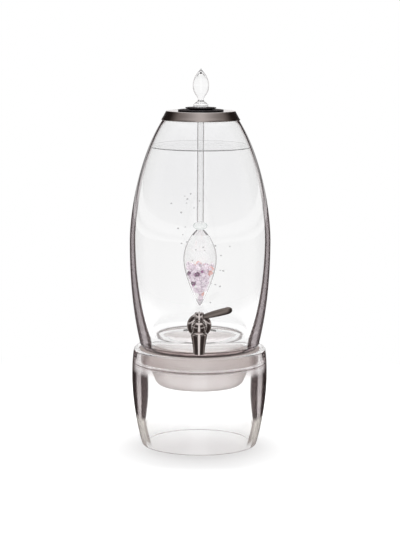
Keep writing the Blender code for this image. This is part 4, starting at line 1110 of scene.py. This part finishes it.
# %% Hub and arm
hub_low, hub_top, hub_radius = 211.8 * mm, 222.4 * mm, 6.85 * mm
hub_outline = [(3.2 * mm, hub_low), (hub_radius - 0.4 * mm, hub_low), (hub_radius, hub_low + 0.4 * mm),
               (hub_radius, hub_top - 0.8 * mm), (hub_radius - 0.25 * mm, hub_top - 0.25 * mm),
               (hub_radius - 0.8 * mm, hub_top), (4.9 * mm, hub_top), (4.9 * mm, hub_top - 1.5 * mm),
               (3.2 * mm, hub_top - 1.5 * mm)]
hub = turn("lever_hub", hub_outline, 56, barrel_axis)
arm_reach, arm_climb = 48.0 * mm, 12.5 * mm
arm_rise = math.atan2(arm_climb, arm_reach)
arm_length = arm_reach / math.cos(arm_rise)
root, tip = (5.4 * mm, 6.0 * mm), (8.5 * mm, 10.6 * mm)
growth = [(0.06, 0.0), (0.13, 0.04), (0.19, 0.26), (0.25, 0.47), (0.36, 0.69), (0.475, 0.84), (0.59, 0.94),
          (0.70, 1.0), (0.86, 1.0)]
sections = [(along, *[a + (b - a) * grown for a, b in zip(root, tip)]) for along, grown in growth]
sections += [(1 - 0.14 * (1 - math.sin(math.radians(t))), *[size * math.cos(math.radians(t)) for size in tip])
             for t in (20, 38, 54, 68, 79)]
deselect()
arm_start = barrel_axis + Vector((0, 0, hub_low + 3.0 * mm))
bpy.ops.mesh.primitive_circle_add(vertices=28, radius=0.5, fill_type="NGON", location=arm_start,
                                  rotation=(0, math.pi / 2 - arm_rise, 0))
bpy.ops.object.mode_set(mode="EDIT")
forward = Vector((math.cos(arm_rise), 0, math.sin(arm_rise)))
bpy.ops.mesh.select_all(action="SELECT")
bpy.ops.transform.resize(value=(sections[0][2], sections[0][1], 1), orient_type="LOCAL")
bpy.ops.transform.translate(value=forward * sections[0][0] * arm_length)
for near, far in zip(sections, sections[1:]):
    step = forward * (far[0] - near[0]) * arm_length
    bpy.ops.mesh.extrude_region_move(TRANSFORM_OT_translate={"value": step})
    bpy.ops.transform.resize(value=(far[2] / near[2], far[1] / near[1], 1), orient_type="LOCAL")
bpy.ops.mesh.select_all(action="SELECT")
bpy.ops.mesh.normals_make_consistent(inside=False)
arm = settle("lever_arm")
print("arm, from and to in mm:", [[round(v * 1000, 1) for v in arm.bound_box[corner]] for corner in (0, 6)])

# %% Lever of hub and arm
lever = cut(hub, arm, "UNION")
lever.name = lever.data.name = "tap_lever"
lever.data.materials.clear()
coat(lever, lever_steel, dark_chrome)
for face in lever.data.polygons:
    spot = face.center - barrel_axis
    face.material_index = int(math.hypot(spot.x, spot.y) < hub_radius + 0.05 * mm)
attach(lever, "tap_lever")
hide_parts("lever")

# %% Lever screw
screw_head, head_low, head_top = 4.6 * mm, 221.2 * mm, 223.6 * mm
screw_radius, screw_foot = 1.5 * mm, 216.5 * mm
screw_outline = [(0.0, screw_foot), (screw_radius, screw_foot), (screw_radius, head_low),
                 (screw_head - 0.2 * mm, head_low), (screw_head, head_low + 0.2 * mm)]
screw_outline += arc((0.0, head_low + 0.2 * mm), (screw_head, head_top - head_low - 0.2 * mm), 8, 90, 10)
screw = turn("lever_cap_screw", screw_outline, 48, barrel_axis)
deselect()
bpy.ops.mesh.primitive_cylinder_add(vertices=6, radius=1.7 * mm, depth=2.4 * mm,
                                    location=barrel_axis + Vector((0, 0, head_top)))
cut(screw, settle("socket"))
coat(screw, bright_chrome)
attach(screw, "tap_lever")
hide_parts("lever_screw")

# %% [markdown]
# ## Hidden pieces
# The gasket, the washers, the nut, the valve plug and its rings are right as they are. The
# CAD nodes stay and only get their finish.

# %% Finishes of the carried nodes
carried = {"lid_gasket": clear_silicone, "tap_outer_washer": clear_silicone,
           "tap_inner_washer": clear_silicone, "tap_lock_nut": bright_chrome, "valve_plug": bright_chrome,
           "plug_o_ring_lower": black_silicone, "plug_o_ring_upper": black_silicone}
for node, finish in carried.items():
    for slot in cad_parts[node].material_slots:
        slot.material = finish
print("carried nodes:", len(carried))

# %% [markdown]
# ## Water
# Water fills the vessel up to about 455 mm. In the photograph it bends nothing behind it, so only
# what shows is made: its surface, with the curved rim where it climbs the glass, and the
# air bubbles that float in it. Water has an IOR of 1.33. Here the space below the surface is
# empty, so the surface gets 1.02 and the bubbles 1.1, and the stick stays straight.

# %% Water surface
water_level = 454.5 * mm
climb_low, climb_high = 452.6 * mm, 458.2 * mm
water_edge = egg_radius(climb_low) - wall_at(climb_low) - 0.2 * mm
taper = (egg_radius(climb_low) - egg_radius(climb_high)) / (climb_high - climb_low)
line_low, line_high = climb_low + 1.2 * mm, climb_high - 0.8 * mm
side_heights = [climb_low, line_low, line_high, climb_high]
water_outline = [(0.0, water_level - 0.6 * mm), (water_edge - 7 * mm, water_level - 0.6 * mm),
                 (water_edge - 4 * mm, water_level - 0.6 * mm)]
water_outline += [(water_edge - taper * (z - climb_low), z) for z in side_heights]
inner_edge = water_edge - taper * (climb_high - climb_low) - 0.3 * mm
water_outline += [(inner_edge, climb_high), (inner_edge - 0.5 * mm, water_level + 0.4 * mm),
                  (inner_edge - 2 * mm, water_level), (inner_edge - 4 * mm, water_level), (0.0, water_level)]
water = turn("water_surface", water_outline, 144)
still_water = glass("still_water", ((0.0, "FFFFFF"), (1.0, "FFFFFF")), ior=1.02, roughness=0.02)
meniscus, tree, output, place = blank("water_meniscus")
side = put(tree, "NewGeometry")
level = put(tree, "SeparateXYZ", Vector=place)
# Painted shade: a dark line low on the meniscus's near side and a faint grey one high on its far side.
lower = put(tree, "Math", "LESS_THAN", s0=level.outputs["Z"], s1=line_low)
upper = put(tree, "Math", "GREATER_THAN", s0=level.outputs["Z"], s1=line_high)
near_line = put(tree, "Mix", colour_mix, s0=lower, s6=tone("FCFCFC"), s7=tone("3C3A3A"))
far_line = put(tree, "Mix", colour_mix, s0=upper, s6=tone("FCFCFC"), s7=tone("CACACA"))
edge_line = put(tree, "Mix", colour_mix, s0=side.outputs["Backfacing"], s6=near_line, s7=far_line)
shader = put(tree, "BsdfPrincipled", Base_Color=edge_line, Roughness=0.02, IOR=1.02, Transmission_Weight=1.0)
let_lamps_through(tree, output, shader, tone("FCFCFC"))
coat(water, still_water, meniscus)
for face in water.data.polygons:
    spot = face.center - glass_axis
    edge_here = water_edge - taper * (spot.z - climb_low)
    face.material_index = int(math.hypot(spot.x, spot.y) > edge_here - 0.2 * mm)
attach(water, "vessel")
print("water surface at", round(water_level * 1000, 1), "mm")

# %% Bubbles
bubble_spots = [(-23, -34, 383), (-14, -40, 387), (-19, -28, 378), (-20, -46, 374), (-42, -52, 374),
                (-28, -38, 359), (-9, -30, 365), (-1, -44, 377), (-32, -60, 338), (-22, -36, 337),
                (-27, -50, 314), (-19, -42, 315), (-25, -55, 328), (-6, -33, 302), (5, -48, 308),
                (7, -40, 302), (-11, -37, 286), (23, -45, 310), (44, -58, 311), (31, -50, 296),
                (35, -41, 271), (30, -54, 274), (23, -38, 249), (30, -46, 248), (17, -35, 250),
                (16, -32, 220)]
deselect()
bpy.ops.mesh.primitive_uv_sphere_add(segments=12, ring_count=7, radius=1.0)
bpy.ops.object.mode_set(mode="EDIT")
bpy.ops.mesh.select_all(action="SELECT")
bpy.ops.transform.resize(value=(1.0, 1.0, 0.88))
pattern = settle("bubble")
bubbles = []
for index, (x, y, z) in enumerate(bubble_spots):
    bubble_radius = (1.0 + 0.25 * (index % 3)) * mm
    bubbles.append(own_copy(pattern, (x * mm, glass_y + y * mm, z * mm), bubble_radius))
bpy.data.objects.remove(pattern)
floating = join("water_bubbles", *bubbles)
# Painted shade: the bubbles darken towards their outline.
bubble_edges = (0.0, "E4E4E4"), (0.5, "A8A8A8"), (1.0, "606060")
bubble_skin = glass("air_bubbles", bubble_edges, ior=1.1, shade="F0F0F0")
coat(floating, bubble_skin)
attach(floating, "vessel")
print("bubbles:", len(bubble_spots))
